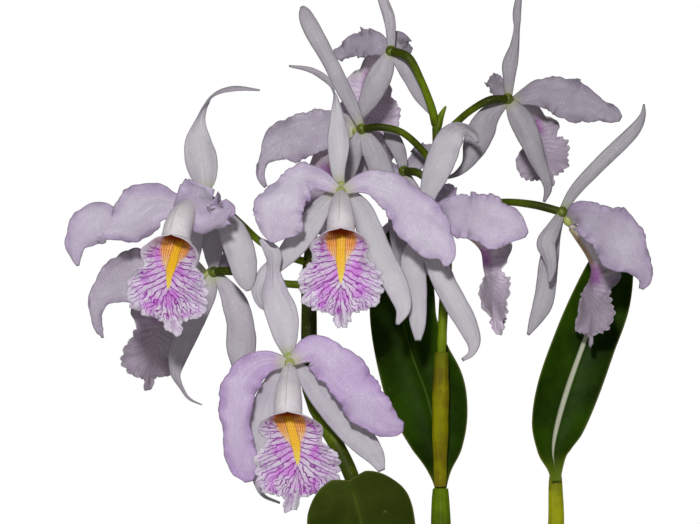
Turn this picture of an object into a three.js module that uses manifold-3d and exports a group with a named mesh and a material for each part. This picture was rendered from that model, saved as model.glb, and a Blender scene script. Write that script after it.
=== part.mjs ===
// A potted cattleya orchid: ten blooms on two flower stems, three leaves on their pseudobulbs,
// and bark in a plain clay pot. Millimetres, +Z up, the front towards -Y, the origin under the
// middle of the pot's base.
import * as THREE from "three";
import Module from "manifold-3d";

// Places are written as on a front drawing of the plant: x to the right, y downwards and depth
// away from the front, in squares of GRID mm. The drawing is in perspective, from EYE mm away.
const GRID = 0.6;
const AXIS_X = 455;
const TOP_Z = 560;
const EYE = 2000;
const EYE_X = 350;
const EYE_Y = 262;

const GAP = 0.35;
const MIN_HALF_WIDTH = 0.6;
const TEPAL_THICK = 0.9;
const LIP_THICK = 0.8;
const LEAF_THICK = 1.5;

const LEAF_ROWS = 10;
const LEAF_COLUMNS = 4;
const LIP_COLUMNS = 6;
// Rows and columns of the tepals, and the distances down the lip that its rows stand at, for
// blooms that face the front and for the others.
const FRONT_GRIDS = {
  sepal: [7, 2], petal: [7, 4], lip: [0, 8, 20, 30, 36, 38, 43, 49, 55, 64, 73, 79.5, 83, 91],
};
const BACK_GRIDS = { sepal: [6, 2], petal: [7, 2], lip: [0, 10, 24, 36, 38.5, 48, 57, 68, 79, 91] };

const ROOT_HALF_WIDTH = 2.4;
const PETAL_SEAT = 6.6;
const LIP_SEAT = 8;
const LIP_DROP = 4;
const HUB_RADIUS = 3.4;
const WHORL_TAPER = 0.6;
const DISC_RADIUS = 3;
const DISC_HALF_THICK = 3.4;
const COLUMN_LENGTH = 25;
const COLUMN_RADIUS = 2.4;
const COLUMN_RISE = 6.2;
const COLUMN_TAPER = 0.8;

const TEPAL_WAVES = 2.6;
const LIP_WAVES = 6;
const LIP_FRILL = 1.7;
const FRILL_START = 0.36;
const LIMB_START = 36;

// The lip from its base to its tip: distance along the midrib, half width round the sheet, how
// far each side wraps round the column in degrees, and its share of the bend down to the limb.
const LIP = [
  [0, 7, 150, 0], [6, 14, 165, 0], [16, 20, 170, 0.02], [25, 24, 170, 0.14],
  [31, 26, 170, 0.4], [36, 26.5, 168, 0.72], [37.2, 25.5, 112, 0.79], [38.6, 24, 86, 0.86],
  [41, 23, 70, 0.93], [44, 22, 56, 0.98], [47, 18.5, 45, 1], [50.5, 17.5, 37, 1],
  [54, 21.5, 30, 1], [59, 25, 24, 1], [65, 25.5, 18, 1], [71, 24.5, 13, 1], [76, 22.5, 10, 1],
  [79.5, 18, 8, 1], [81.5, 10, 6, 1], [83.5, 5, 5, 1], [86.5, 5.4, 4, 0.97], [89.5, 3.6, 2, 0.94],
  [91, 1.2, 0, 0.9],
];

// Every bloom: where it sits, the way it faces (yaw and downward pitch), its lip, and five
// tepals as [cup, ruffle, stations]. A station is [x, y, depth, half width, roll].
const BLOOMS = {
  a: {
    at: [341, 187, 0],
    face: [0, 25],
    lip: { yaw: 0, pitch: 33, hang: 88, lean: 0, sway: 0, size: 0.98 },
    top_sepal: [25, 0.6, [
      [338, 171, 3, 7.5, 0], [338.5, 142, 5, 11.5, 0], [337, 118, 7, 7.5, 0],
      [335.5, 99, 9, 3.6, 30], [332, 88, 10, 3.2, 110], [324, 78, 12, 4.2, 150],
      [310, 70, 13, 3.2, 150], [289, 66, 15, 1.2, 150],
    ]],
    left_sepal: [20, 0.5, [
      [322, 207, 6, 10, 0], [308, 227, 9, 13, 0], [294, 246, 12, 12, 0], [280, 262, 16, 9, 10],
      [266, 274, 19, 8, 10], [257, 290, 18, 6.5, -20], [262, 306, 15, 5, -50],
      [277, 311, 13, 4, -60], [292, 303, 12, 3, -40],
    ]],
    right_sepal: [20, 0.5, [
      [359, 207, 5, 11, 0], [369, 229, 7, 13, 0], [379, 252, 8, 13.5, 0], [390, 274, 8, 13, 0],
      [399, 292, 7, 11.5, 0], [403, 309, 5, 8, 0], [397, 325, 2, 1.6, 0],
    ]],
    left_petal: [-14, 2.6, [
      [318, 179, -8, 12, 10], [303, 179, -12, 17, 15], [290, 191, -18, 20, 10],
      [281, 207, -21, 24, 0], [278, 221, -21, 27, 0], [274, 233, -18, 17, 0], [272, 243, -15, 2, 0],
    ]],
    right_petal: [-14, 2.8, [
      [364, 183, -9, 11, 0], [384, 187, -13, 17, 0], [403, 200, -19, 21, 0], [419, 223, -27, 26, 0],
      [436, 241, -33, 20, 0], [446, 255, -35, 11, 0], [446, 267, -34, 2, 0],
    ]],
  },
  b: {
    at: [203, 196, 4],
    face: [-30, 20],
    lip: { yaw: -16, pitch: 29, hang: 91, lean: 2, sway: -6, size: 1 },
    top_sepal: [30, 0.6, [
      [204, 178, 6, 13.5, 0], [201, 158, 8, 17, 0], [198.5, 140, 9, 13.5, 0], [200, 121, 9, 6, 20],
      [205, 105, 8, 4.4, 70], [216, 93, 6, 4.5, 120], [236, 88, 3, 3.6, 140],
      [260, 90, 0, 1.2, 140],
    ]],
    left_sepal: [20, 0.5, [
      [196, 218, 10, 10, 0], [191, 240, 14, 13, 0], [186, 264, 16, 12, 0], [183, 286, 16, 8, 0],
      [180, 304, 13, 2, 0],
    ]],
    right_sepal: [-35, 0.6, [
      [222, 216, 8, 9, 0], [232, 232, 8, 15, 0], [240, 251, 8, 16, 0], [244, 270, 9, 14, 0],
      [247, 284, 12, 9, 0], [249, 291, 15, 3, 0],
    ]],
    left_petal: [-12, 3.6, [
      [176, 204, -4, 12, 0], [154, 204, -6, 21.5, 0], [133, 217, -8, 26.5, 0],
      [113, 224, -10, 16, 0], [99, 221.5, -13, 21, 0], [85, 232, -14, 18, 0],
      [76, 244.5, -12, 11.5, 0], [76, 257, -10, 6, 0], [78, 266, -8, 1.5, 0],
    ]],
    right_petal: [-24, 6, [
      [200, 187, -16, 15, 0], [197, 199, -32, 23, -10], [202, 214, -44, 20, -10],
      [212, 222, -47, 15, 20], [224, 213, -42, 13, 30], [231, 202, -36, 6, 20],
    ]],
  },
  c: {
    at: [289, 358, -14],
    face: [5, 25],
    lip: { yaw: -1, pitch: 43, hang: 87, lean: 0, sway: 5.5, size: 1 },
    top_sepal: [25, 0.8, [
      [286, 338, -12, 12.5, 0], [282, 315, -9, 16.5, 0], [275, 293, -6, 14, 0],
      [273, 272, -4, 8, 30], [272, 254, -2, 10, 30], [260, 239, 0, 2, 20],
    ]],
    left_sepal: [20, 0.5, [
      [273, 386, -8, 11, 0], [265, 410, -6, 14, 0], [260, 437, -4, 13, 0], [257, 460, -3, 8, 0],
      [256, 480, -3, 3.5, 0], [263, 495, -4, 2, 0], [280, 503, -5, 1.2, 0],
    ]],
    right_sepal: [20, 0.5, [
      [311, 382, -9, 11, 0], [328, 403, -7, 14, 0], [345, 423, -6, 14.5, 0], [362, 440, -6, 14, 0],
      [375, 456, -7, 10, 0], [382, 471, -8, 3.5, 0],
    ]],
    left_petal: [-14, 2.6, [
      [267, 362, -20, 12, 0], [250, 371, -24, 17, 0], [240, 388, -26, 18, 0],
      [236, 409, -27, 17, 0], [236, 431, -27, 14.5, 0], [240, 453, -25, 16, 0],
      [246, 470, -22, 14, 0], [249, 482, -20, 4, 0],
    ]],
    right_petal: [-12, 2.6, [
      [311, 350, -20, 15, 0], [327, 359, -23, 21, 0], [341, 372, -25, 22, 0],
      [355, 389, -27, 22, 0], [369, 406, -28, 22, 0], [382, 420, -28, 18, 0],
      [394, 426, -26, 12, 0], [404, 427, -22, 5, 0],
    ]],
  },
  d: {
    at: [214, 272, 60],
    face: [-130, 15],
    lip: { yaw: -130, pitch: 19, hang: 74, lean: 0, sway: 2, size: 1 },
    top_sepal: [-20, 0.5, [
      [213, 255, 60, 9, 0], [213, 238, 61, 12, 0], [215, 222, 63, 8, 0], [218, 211, 66, 2, 0],
    ]],
    left_sepal: [-25, 0.6, [
      [207, 291, 58, 10.5, 0], [198, 310, 56, 12, 0], [188, 330, 54, 12.5, 0],
      [179, 352, 53, 11, 0], [175, 373, 54, 7, 30], [181, 388, 56, 3.8, 60],
      [189, 399, 58, 2.6, 60], [202, 405, 60, 1.2, 60],
    ]],
    right_sepal: [-25, 0.6, [
      [227, 289, 56, 9.5, 0], [235, 304, 54, 13.5, 0], [240, 322, 52, 14, 0],
      [241, 345, 52, 15.5, 0], [242, 368, 53, 10, 0], [243, 386, 56, 2, 0],
    ]],
    left_petal: [16, 3, [
      [189, 269, 58, 13, 0], [164, 271, 50, 24, 0], [143, 276, 45, 29, 0], [125, 281, 42, 26, 0],
      [110, 288, 42, 18, 0], [100, 297, 42, 12, 0], [96, 310, 43, 8, 0], [98, 325, 45, 5, 20],
      [103, 338, 47, 1.5, 30],
    ]],
    right_petal: [25, 2, [
      [224, 264, 76, 9, 0], [233, 256, 86, 14, 0], [240, 250, 98, 14, 0], [246, 252, 108, 8, 0],
      [250, 258, 114, 2, 0],
    ]],
  },
  e: {
    at: [362, 129, 60],
    face: [-150, 15],
    lip: { yaw: -135, pitch: 30, hang: 90, lean: 0, sway: 0, size: 0.85 },
    top_sepal: [-25, 0.5, [
      [354, 110, 58, 6.5, 0], [341, 84, 56, 8, 0], [329, 60, 56, 8, 0], [317, 38, 57, 9, 0],
      [308, 21, 60, 8.5, 0], [304, 11, 63, 6, 0], [302, 6, 65, 2, 0],
    ]],
    left_sepal: [-20, 0.5, [
      [355, 148, 60, 9, 0], [351, 163, 61, 9, 0], [349, 177, 63, 6, 0], [350, 190, 66, 2, 0],
    ]],
    right_sepal: [-25, 0.5, [
      [371, 147, 57, 11, 0], [379, 164, 55, 12.5, 0], [384, 182, 55, 13, 0], [388, 200, 57, 9, 0],
      [395, 214, 60, 2, 0],
    ]],
    left_petal: [16, 2.6, [
      [344, 129, 70, 16, 0], [325, 131, 74, 21, 0], [306, 134.5, 77, 22.5, 0],
      [290, 139.5, 79, 23, 0], [278, 146, 80, 18, 0], [268, 156, 80, 9, 0], [262, 166, 80, 4.5, 10],
      [261, 177, 79, 4, 20], [266, 187, 77, 2.5, 30],
    ]],
    right_petal: [20, 1.6, [
      [372, 138, 80, 9, 0], [378, 148, 94, 11, 0], [383, 160, 106, 10, 0], [387, 172, 114, 3, 0],
    ]],
  },
  f: {
    at: [391, 51, 62],
    face: [180, 15],
    lip: { yaw: -159, pitch: 6, hang: 85, lean: -3, sway: 0, size: 0.82 },
    top_sepal: [-20, 0.5, [
      [391, 34, 61, 5, 0], [389, 17, 61, 6, 0], [384, 3, 63, 5.5, 0], [379, -10, 66, 4, 0],
      [375, -20, 70, 1.5, 0],
    ]],
    left_sepal: [-25, 0.5, [
      [384, 67, 61, 11, 0], [376, 84, 60, 13, 0], [368, 101, 64, 10, 0], [361, 114, 69, 6, 0],
      [356, 124, 75, 2, 0],
    ]],
    right_sepal: [-25, 0.5, [
      [406, 68, 61, 9, 0], [415, 82, 62, 9.5, 0], [422, 97, 63, 7.5, 0], [431, 113, 66, 2.5, 0],
    ]],
    left_petal: [18, 3, [
      [378, 45, 74, 12, 0], [365, 44, 80, 14, 10], [355, 45, 86, 13, 10], [346, 53, 92, 7, 20],
      [339, 53, 94, 8, 20], [333, 52, 96, 3, 20],
    ]],
    right_petal: [20, 2.4, [
      [397, 42, 76, 10, 0], [401, 43, 88, 8, 0], [406, 48, 98, 5, 0], [412, 51, 104, 2.5, 0],
    ]],
  },
  g: {
    at: [508, 99, 50],
    face: [160, 15],
    lip: { yaw: 150, pitch: 9, hang: 86, lean: 14, sway: 0, size: 0.74 },
    top_sepal: [-25, 0.6, [
      [509, 81, 49, 6, 0], [510, 64, 48, 8, 0], [515, 46, 48, 5.2, 10], [517, 28, 49, 3.8, 20],
      [517, 12, 50, 4.4, 0], [519, -3, 52, 3.2, 0], [521, -14, 54, 1.2, 0],
    ]],
    left_sepal: [-25, 0.6, [
      [490, 115, 47, 11, 0], [481, 131, 45, 14.5, 0], [474, 149, 44, 12, 0], [467, 164, 44, 6, 0],
      [458, 173, 45, 3.4, 0], [448, 178, 46, 1.4, 0],
    ]],
    right_sepal: [-25, 0.6, [
      [517, 113, 47, 11, 0], [525, 127, 46, 12.5, 0], [532, 144, 45, 11, 0], [538, 161, 44, 8.5, 0],
      [545, 176, 44, 6, 0], [548, 189, 45, 4.4, 0], [544, 202, 47, 1.5, 0],
    ]],
    left_petal: [20, 1.8, [
      [500, 91, 66, 8, 0], [496, 84, 78, 9, 0], [492, 80, 90, 7, 0], [489, 79, 98, 3, 0],
    ]],
    right_petal: [16, 3, [
      [528, 96, 60, 10, 0], [541, 93, 61, 15.5, 0], [556, 94, 62, 18.5, 0], [572, 102, 63, 22, 0],
      [588, 106, 63, 16, 0], [603, 111, 62, 11, 0], [615, 116, 61, 8, 0], [621, 119, 60, 3, 0],
    ]],
  },
  h: {
    at: [562, 212, 8],
    face: [85, 55],
    lip: { yaw: 118, pitch: 50, hang: 94, lean: 0, sway: 0, size: 0.84 },
    top_sepal: [-20, 0.5, [
      [574, 192, 8, 6, 0], [593, 171, 8, 7, 0], [610, 154, 8, 7.4, 0], [625, 140, 8, 7.2, 0],
      [637, 127, 7, 6, 10], [643, 115, 6, 3.5, 20], [644, 104, 5, 1, 20],
    ]],
    left_sepal: [-25, 0.6, [
      [553, 230, -2, 8, 0], [546, 243, -5, 10, 10], [549, 256, -6, 8, 20], [551, 269, -6, 5.5, 20],
      [549, 283, -5, 1.5, 20],
    ]],
    right_sepal: [-25, 0.6, [
      [553, 236, 12, 8, 0], [549, 262, 13, 10, 0], [546, 288, 13, 10.5, 0], [542, 306, 12, 10, 0],
      [535, 321, 11, 6.5, 0], [528, 335, 10, 1.5, 0],
    ]],
    left_petal: [14, 3, [
      [580, 215, -14, 14, 0], [596, 223, -30, 21, 0], [612, 234, -43, 26, 0],
      [627, 251, -50, 25, 0], [639, 266, -51, 14, 0], [645, 279, -47, 7, 0],
      [641, 289, -41, 2.5, 0],
    ]],
    right_petal: [20, 2.2, [
      [580, 213, 30, 10, 0], [595, 222, 46, 16, 0], [610, 234, 58, 19, 0], [623, 248, 64, 14, 0],
      [631, 260, 65, 4, 0],
    ]],
  },
  i: {
    at: [426, 213, 10],
    face: [80, 15],
    lip: { yaw: 108, pitch: 25, hang: 78, lean: 0, sway: 0, size: 0.93 },
    top_sepal: [25, 0.6, [
      [429, 192, 9, 9.5, 0], [436, 173, 7, 14, 0], [443, 155, 5, 15, 0], [449, 140, 3, 14, 0],
      [457, 130, 1, 12, 30], [467, 128, 0, 10, 60], [475, 134, 0, 7, 60], [478, 143, 1, 2, 40],
    ]],
    left_sepal: [20, 0.5, [
      [421, 236, 13, 10, 0], [413, 258, 16, 12, 0], [414, 282, 17, 13, 0], [417, 305, 17, 10, 0],
      [418, 325, 16, 8, 0], [418, 341, 15, 3, 0],
    ]],
    right_sepal: [-25, 0.5, [
      [430, 240, 6, 10, 0], [436, 262, 4, 12, 0], [445, 284, 2, 12, 0], [456, 304, 0, 12, 0],
      [466, 322, -1, 11, 0], [473, 340, -1, 8, 0], [471, 353, -1, 4, 30], [462, 360, -1, 2, 30],
    ]],
    left_petal: [14, 2.8, [
      [446, 212, -10, 13, 0], [461, 214, -24, 22, 0], [478, 218, -37, 24, 0],
      [495, 224, -43, 25, 0], [508, 226, -45, 21, 0], [518, 230, -45, 13, 0], [527, 235, -42, 3, 0],
    ]],
    right_petal: [20, 1.8, [
      [439, 204, 28, 9, 0], [444, 198, 40, 11, 0], [448, 192, 50, 9, 0], [450, 187, 58, 6, 0],
      [451, 184, 62, 2, 0],
    ]],
  },
  j: {
    at: [404, 171, 78],
    face: [175, 15],
    lip: { yaw: 175, pitch: 45, hang: 90, lean: 0, sway: 0, size: 0.85 },
    top_sepal: [-20, 0.5, [
      [401, 158, 77, 6.5, 0], [397, 147, 76, 8, 0], [391, 137, 75, 8, 0], [386, 129, 75, 3, 0],
    ]],
    left_sepal: [-20, 0.5, [
      [401, 190, 76, 8, 0], [399, 214, 75, 11, 0], [400, 240, 74, 10, 0], [400, 260, 75, 6, 0],
      [399, 274, 77, 2, 0],
    ]],
    right_sepal: [-20, 0.5, [
      [411, 190, 76, 9, 0], [419, 212, 76, 12, 0], [424, 236, 76, 12, 0], [426, 258, 77, 8, 0],
      [427, 275, 79, 2, 0],
    ]],
    left_petal: [20, 2, [
      [388, 171, 90, 11, 0], [371, 169, 93, 15, 0], [357, 169, 95, 12, 0], [347, 172, 96, 4, 0],
    ]],
    right_petal: [20, 2, [
      [415, 163, 92, 9, 0], [422, 156, 100, 11, 0], [428, 150, 108, 8, 0], [433, 146, 114, 2, 0],
    ]],
  },
};

// The blooms that turn their backs to the front show little of their lips.
const BACK_BLOOMS = ["d", "e", "f", "g", "j"];

// Stems and bulbs: stations are [x, y, depth, radius].
const RIGHT_STEM = [
  [440.5, 487, 70, 3.4], [440.5, 440, 69, 4.2], [440.5, 380, 68, 4.4], [442, 340, 68, 4.6],
  [444, 300, 68, 5], [447, 268, 68, 5], [446, 235, 68, 5], [441, 200, 68, 5],
  [437, 168, 68, 4.8], [437, 140, 68, 4.6], [436, 122, 67, 4.2],
];
const RIGHT_PEDICELS = {
  e: [
    [438, 174, 68, 4.4], [427, 156, 62, 3.8], [403, 133, 52, 3.6], [380, 127, 50, 3.8],
    [362, 129, 60, 4],
  ],
  f: [
    [436, 126, 67, 4.4], [431, 106, 60, 4], [420, 78, 51, 3.8], [408, 57, 48, 4.2],
    [391, 51, 62, 4.6],
  ],
  g: [
    [438, 142, 68, 4.2], [450, 129, 58, 3.8], [470, 111, 45, 3.6], [490, 100, 37, 4],
    [508, 99, 50, 4.4],
  ],
  h: [
    [443, 212, 68, 4.2], [470, 206, 50, 3.6], [505, 202, 28, 3.6], [535, 205, 14, 4],
    [562, 212, 8, 4.2],
  ],
  i: [[446, 234, 68, 4], [443, 226, 50, 3.6], [436, 218, 30, 3.8], [426, 213, 10, 4]],
  j: [[441, 198, 68, 4.2], [430, 183, 64, 3.8], [418, 173, 64, 4], [404, 171, 78, 4.2]],
};
const BRACT = [[437, 128, 67, 4.6], [441, 116, 66, 3.2], [446, 106, 65, 1]];
const LEFT_STEM = [
  [373, 642, -58, 4.6], [371, 600, -48, 5], [367, 540, -22, 6], [352, 478, 8, 7.6],
  [336, 444, 20, 8], [321, 417, 28, 8], [309, 384, 35, 8], [309, 345, 41, 8],
  [309, 300, 44, 7.2], [308, 262, 42, 5], [314, 232, 34, 4.4], [324, 209, 24, 4.2],
];
const LEFT_PEDICELS = {
  a: [[322, 213, 26, 4.2], [331, 201, 15, 3.8], [336, 193, 8, 3.8], [341, 187, 0, 4]],
  b: [
    [306, 262, 42, 4], [284, 255, 42, 3.6], [262, 243, 38, 3.6], [240, 223, 30, 3.8],
    [217, 203, 20, 4], [203, 196, 4, 4],
  ],
  c: [[307, 372, 35, 4.2], [302, 366, 20, 3.8], [294, 361, 2, 3.8], [289, 358, -14, 4]],
  d: [
    [306, 285, 44, 4], [280, 283, 48, 3.6], [250, 275, 50, 3.8], [230, 271, 50, 4.2],
    [214, 272, 60, 4.6],
  ],
};
const SHEATH = [
  [440.5, 487, 70, 5.6], [440, 462, 69.5, 6.8], [440, 430, 69, 8], [440.5, 395, 68.5, 8.2],
  [441, 370, 68, 7.4], [441.5, 352, 68, 6.4],
];

const MIDDLE_BULB = [
  [440.5, 488.6, 70.5, 7.4], [440.5, 500, 71, 8.6], [441, 530, 70, 9.8], [443, 600, 66, 10],
  [447, 660, 60, 9], [450, 715, 52, 7.5], [451, 760, 48, 7.5],
];
const RIGHT_BULB = [
  [555.5, 475, 30, 5.8], [555.5, 486, 30, 6.8], [556, 524, 30, 7.8], [551, 600, 26, 8.4],
  [540, 660, 18, 8], [526, 715, 8, 7], [518, 760, 4, 7],
];
const FRONT_BULB = [
  [373, 643.5, -59, 9.5], [373, 655, -58, 10.5], [375, 685, -54, 10.5], [380, 715, -48, 8.5],
  [385, 760, -42, 8],
];
const BULB_FLATTEN = 0.8;
const SHEATH_FLATTEN = 0.95;

// Leaves: stations as for the tepals, the blade standing on its bulb, then how far its corners
// and its midrib stop short of the end, in squares.
const MIDDLE_LEAF = [30, 0.4, [
  [440.5, 499, 81, 5, 0], [440.5, 485, 81.5, 7, 0], [439.5, 470, 82, 13, 0],
  [438, 449, 84, 26, 0], [433, 420, 88, 37, 0], [425, 390, 93, 42, 0], [413, 358, 97, 38.5, 0],
  [404, 325, 100, 35, 0], [402, 295, 102, 34, 0], [402, 265, 104, 31, 0], [402, 240, 106, 21, 0],
  [404, 222, 108, 4, 0],
], [0, 0]];
const RIGHT_LEAF = [35, 0.4, [
  [556, 482, 21.5, 4.6, 0], [555, 469, 25, 8.5, 0], [553, 452, 31, 17.5, 0],
  [556, 430, 38, 27.5, 0], [566.5, 392, 49, 33, 0], [584.5, 341, 60, 33, 0],
  [599.5, 303, 66, 31.5, 0], [611, 266, 72, 24, 0], [619, 240, 75, 13, 0], [622, 226, 76, 3, 0],
], [0, 0]];
const FRONT_LEAF = [30, 0.4, [
  [372, 643.7, -66, 6, 0], [371, 620, -72, 22, 0], [368, 590, -81, 42, 0], [365, 560, -90, 52, 0],
  [363, 532, -98, 55, 0], [357, 506, -107, 56, 0], [348, 474, -116, 52, 0],
], [25, 7]];
const TIP_START = 0.65;

// The pot is turned about its own upright axis.
const POT_HEIGHT = 132;
const POT_TOP_RADIUS = 78;
const POT_BASE_RADIUS = 56;
const RIM_HEIGHT = 20;
const RIM_STEP = 4;
const WALL = 5;
const FLOOR = 7;
const POT_SIDES = 32;
const DRAIN_RADIUS = 5;
const DRAIN_CIRCLE = 28;
const DRAIN_HOLES = 4;
const BARK_EDGE_Z = 112;
const BARK_CROWN = 7;
const BARK_RINGS = 5;
const BARK_ROUGHNESS = 1.6;
const STEM_SIDES = 8;
const PEDICEL_SIDES = 5;
const WHORL_SIDES = 6;
const BULB_SIDES = 10;
const STEM_STEP = 2;

const COLOURS = {
  sepals: [0xd9d2dd, 0.55],
  petals: [0xcfbfd8, 0.55],
  lip: [0xc77fca, 0.5],
  stem: [0x3d6b1c, 0.5],
  sheath: [0x8a7d22, 0.7],
  leaf: [0x2c4f1a, 0.45],
  bulb: [0x6f8a2c, 0.5],
  pot: [0xa65a3a, 0.85],
  bark: [0x4a3120, 0.95],
};

const wasm = await Module();
wasm.setup();

function radians(degrees) {
  return (degrees * Math.PI) / 180;
}

function clamp(value) {
  return Math.min(Math.max(value, 0), 1);
}

// From the drawing to millimetres.
function place(x, y, depth) {
  const far = 1 + (depth * GRID) / EYE;
  const eyeX = (EYE_X - AXIS_X) * GRID;
  const eyeZ = TOP_Z - EYE_Y * GRID;
  return new THREE.Vector3(
    eyeX + (x - EYE_X) * GRID * far,
    depth * GRID,
    eyeZ - (y - EYE_Y) * GRID * far,
  );
}

function lengthAt(depth) {
  return GRID * (1 + (depth * GRID) / EYE);
}

// A station as [x, y, z, half width or radius, roll] in millimetres.
function stationAt([x, y, depth, width, roll = 0]) {
  return [...place(x, y, depth).toArray(), width * lengthAt(depth), roll];
}

function gapBetween(a, b) {
  return Math.hypot(a[0] - b[0], a[1] - b[1], a[2] - b[2]);
}

function evenly(steps) {
  return Array.from({ length: steps + 1 }, (_, step) => step / steps);
}

// Rows along a smooth curve through the stations, at the given shares of its length.
function rowsThrough(stations, shares) {
  const at = [0];
  for (let i = 1; i < stations.length; i += 1) {
    at.push(at[i - 1] + gapBetween(stations[i - 1], stations[i]));
  }
  const last = stations.length - 1;
  const slopes = stations.map((station, i) => {
    const before = Math.max(i - 1, 0);
    const after = Math.min(i + 1, last);
    const span = at[after] - at[before];
    return station.map((_, k) => (stations[after][k] - stations[before][k]) / span);
  });
  return shares.map((share) => {
    const s = at[last] * share;
    const i = Math.min(Math.max(at.findLastIndex((distance) => distance <= s), 0), last - 1);
    return between(stations, slopes, i, at[i + 1] - at[i], s - at[i]);
  });
}

// The cubic between two stations, with their slopes.
function between(stations, slopes, i, span, offset) {
  const a = offset / span;
  const startWeight = 2 * a ** 3 - 3 * a ** 2 + 1;
  const startSlope = (a ** 3 - 2 * a ** 2 + a) * span;
  const endWeight = -2 * a ** 3 + 3 * a ** 2;
  const endSlope = (a ** 3 - a ** 2) * span;
  return stations[i].map((value, k) => startWeight * value + startSlope * slopes[i][k]
    + endWeight * stations[i + 1][k] + endSlope * slopes[i + 1][k]);
}

function point(row) {
  return new THREE.Vector3(row[0], row[1], row[2]);
}

function tangents(points) {
  return points.map((_, i) => {
    const before = points[Math.max(i - 1, 0)];
    const after = points[Math.min(i + 1, points.length - 1)];
    return after.clone().sub(before).normalize();
  });
}

// The two directions across a blade: sideways, and out of its face towards the front.
function crossDirections(tangent, roll) {
  const front = new THREE.Vector3(0, -1, 0);
  const out = front.addScaledVector(tangent, -front.dot(tangent)).normalize();
  const side = tangent.clone().cross(out);
  const c = Math.cos(radians(roll));
  const s = Math.sin(radians(roll));
  return {
    out: out.clone().multiplyScalar(c).addScaledVector(side, s),
    side: side.clone().multiplyScalar(c).addScaledVector(out, -s),
  };
}

// How far a margin stands off its blade: waves that die away at both ends.
function marginWave(v, u, seed) {
  const side = Math.sign(u);
  const grow = clamp(v * 3) * clamp((1 - v) * 3);
  const slow = Math.sin(2 * Math.PI * (TEPAL_WAVES * v + 0.31 * seed + 0.37 * side));
  return slow * grow * Math.abs(u) ** 2.5;
}

// A tepal or leaf as a grid of points: a bowed cross-section carried along its midrib.
function bladeGrid(stations, cup, ruffle, seed, rows, columns, swell) {
  const line = rowsThrough(stations, evenly(rows));
  const points = line.map(point);
  const along = tangents(points);
  const bow = radians(cup);
  return line.map((row, i) => {
    const { out, side } = crossDirections(along[i], row[4]);
    const half = Math.max(row[3], MIN_HALF_WIDTH) + swell;
    return Array.from({ length: columns + 1 }, (_, j) => {
      const u = (2 * j) / columns - 1;
      const across = (Math.sin(bow * u) / bow) * half;
      const height = ((1 - Math.cos(bow * u)) / bow) * half + ruffle * marginWave(i / rows, u, seed);
      return points[i].clone().addScaledVector(side, across).addScaledVector(out, height);
    });
  });
}

function normalAt(grid, i, j) {
  const rows = grid.length - 1;
  const columns = grid[0].length - 1;
  const down = grid[Math.min(i + 1, rows)][j].clone().sub(grid[Math.max(i - 1, 0)][j]);
  const across = grid[i][Math.min(j + 1, columns)].clone().sub(grid[i][Math.max(j - 1, 0)]);
  return across.cross(down).normalize();
}

// A closed body from points and triangles, turned to face outwards.
function body(points, triangles) {
  const volume = triangles.reduce((sum, [a, b, c]) => (
    sum + points[a].dot(points[b].clone().cross(points[c]))), 0);
  const facing = volume > 0 ? triangles : triangles.map(([a, b, c]) => [a, c, b]);
  return new wasm.Manifold(new wasm.Mesh({
    numProp: 3,
    vertProperties: new Float32Array(points.flatMap((p) => p.toArray())),
    triVerts: new Uint32Array(facing.flat()),
  }));
}

// The edge of a grid as a loop of its own point numbers.
function rimOf(rows, columns) {
  const at = (i, j) => i * (columns + 1) + j;
  const loop = [];
  for (let j = 0; j < columns; j += 1) loop.push(at(0, j));
  for (let i = 0; i < rows; i += 1) loop.push(at(i, columns));
  for (let j = columns; j > 0; j -= 1) loop.push(at(rows, j));
  for (let i = rows; i > 0; i -= 1) loop.push(at(i, 0));
  return loop;
}

// A sheet of even thickness from a grid, both faces cut into the same triangles.
function sheet(grid, thickness) {
  const rows = grid.length - 1;
  const columns = grid[0].length - 1;
  const count = (rows + 1) * (columns + 1);
  const shift = (side) => grid.flatMap((row, i) => row.map((p, j) => (
    p.clone().addScaledVector(normalAt(grid, i, j), (side * thickness) / 2))));
  const points = [...shift(1), ...shift(-1)];
  const triangles = [];
  for (let i = 0; i < rows; i += 1) {
    for (let j = 0; j < columns; j += 1) {
      const a = i * (columns + 1) + j;
      const b = a + 1;
      const c = a + columns + 1;
      const d = c + 1;
      triangles.push([a, c, b], [b, c, d]);
      triangles.push([a + count, b + count, c + count], [b + count, d + count, c + count]);
    }
  }
  const rim = rimOf(rows, columns);
  rim.forEach((a, k) => {
    const b = rim[(k + 1) % rim.length];
    triangles.push([a, b, b + count], [a, b + count, a + count]);
  });
  return body(points, triangles);
}

// A closed body skinned over rings of points, with both ends fanned shut.
function loft(rings) {
  const sides = rings[0].length;
  const centre = (ring) => ring.reduce((sum, p) => sum.add(p), new THREE.Vector3()).divideScalar(sides);
  const points = [...rings.flat(), centre(rings[0]), centre(rings[rings.length - 1])];
  const triangles = [];
  for (let i = 0; i < rings.length - 1; i += 1) {
    for (let j = 0; j < sides; j += 1) {
      const a = i * sides + j;
      const b = i * sides + ((j + 1) % sides);
      triangles.push([a, b, a + sides], [b, b + sides, a + sides]);
    }
  }
  const first = rings.length * sides;
  const lastRing = first - sides;
  for (let j = 0; j < sides; j += 1) {
    const next = (j + 1) % sides;
    triangles.push([first, next, j], [first + 1, lastRing + j, lastRing + next]);
  }
  return body(points, triangles);
}

// A bar of round or flattened section along a line of stations in millimetres.
function bar(stations, steps, sides, flatten, swell) {
  const line = rowsThrough(stations, evenly(steps));
  const points = line.map(point);
  const along = tangents(points);
  points[0].addScaledVector(along[0], -swell);
  points[steps].addScaledVector(along[steps], swell);
  return loft(line.map((row, i) => {
    const { out, side } = crossDirections(along[i], 0);
    return Array.from({ length: sides }, (_, k) => {
      const turn = (2 * Math.PI * (k + 0.5)) / sides;
      return points[i].clone()
        .addScaledVector(side, Math.cos(turn) * (row[3] + swell))
        .addScaledVector(out, Math.sin(turn) * (row[3] * flatten + swell));
    });
  }));
}

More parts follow.
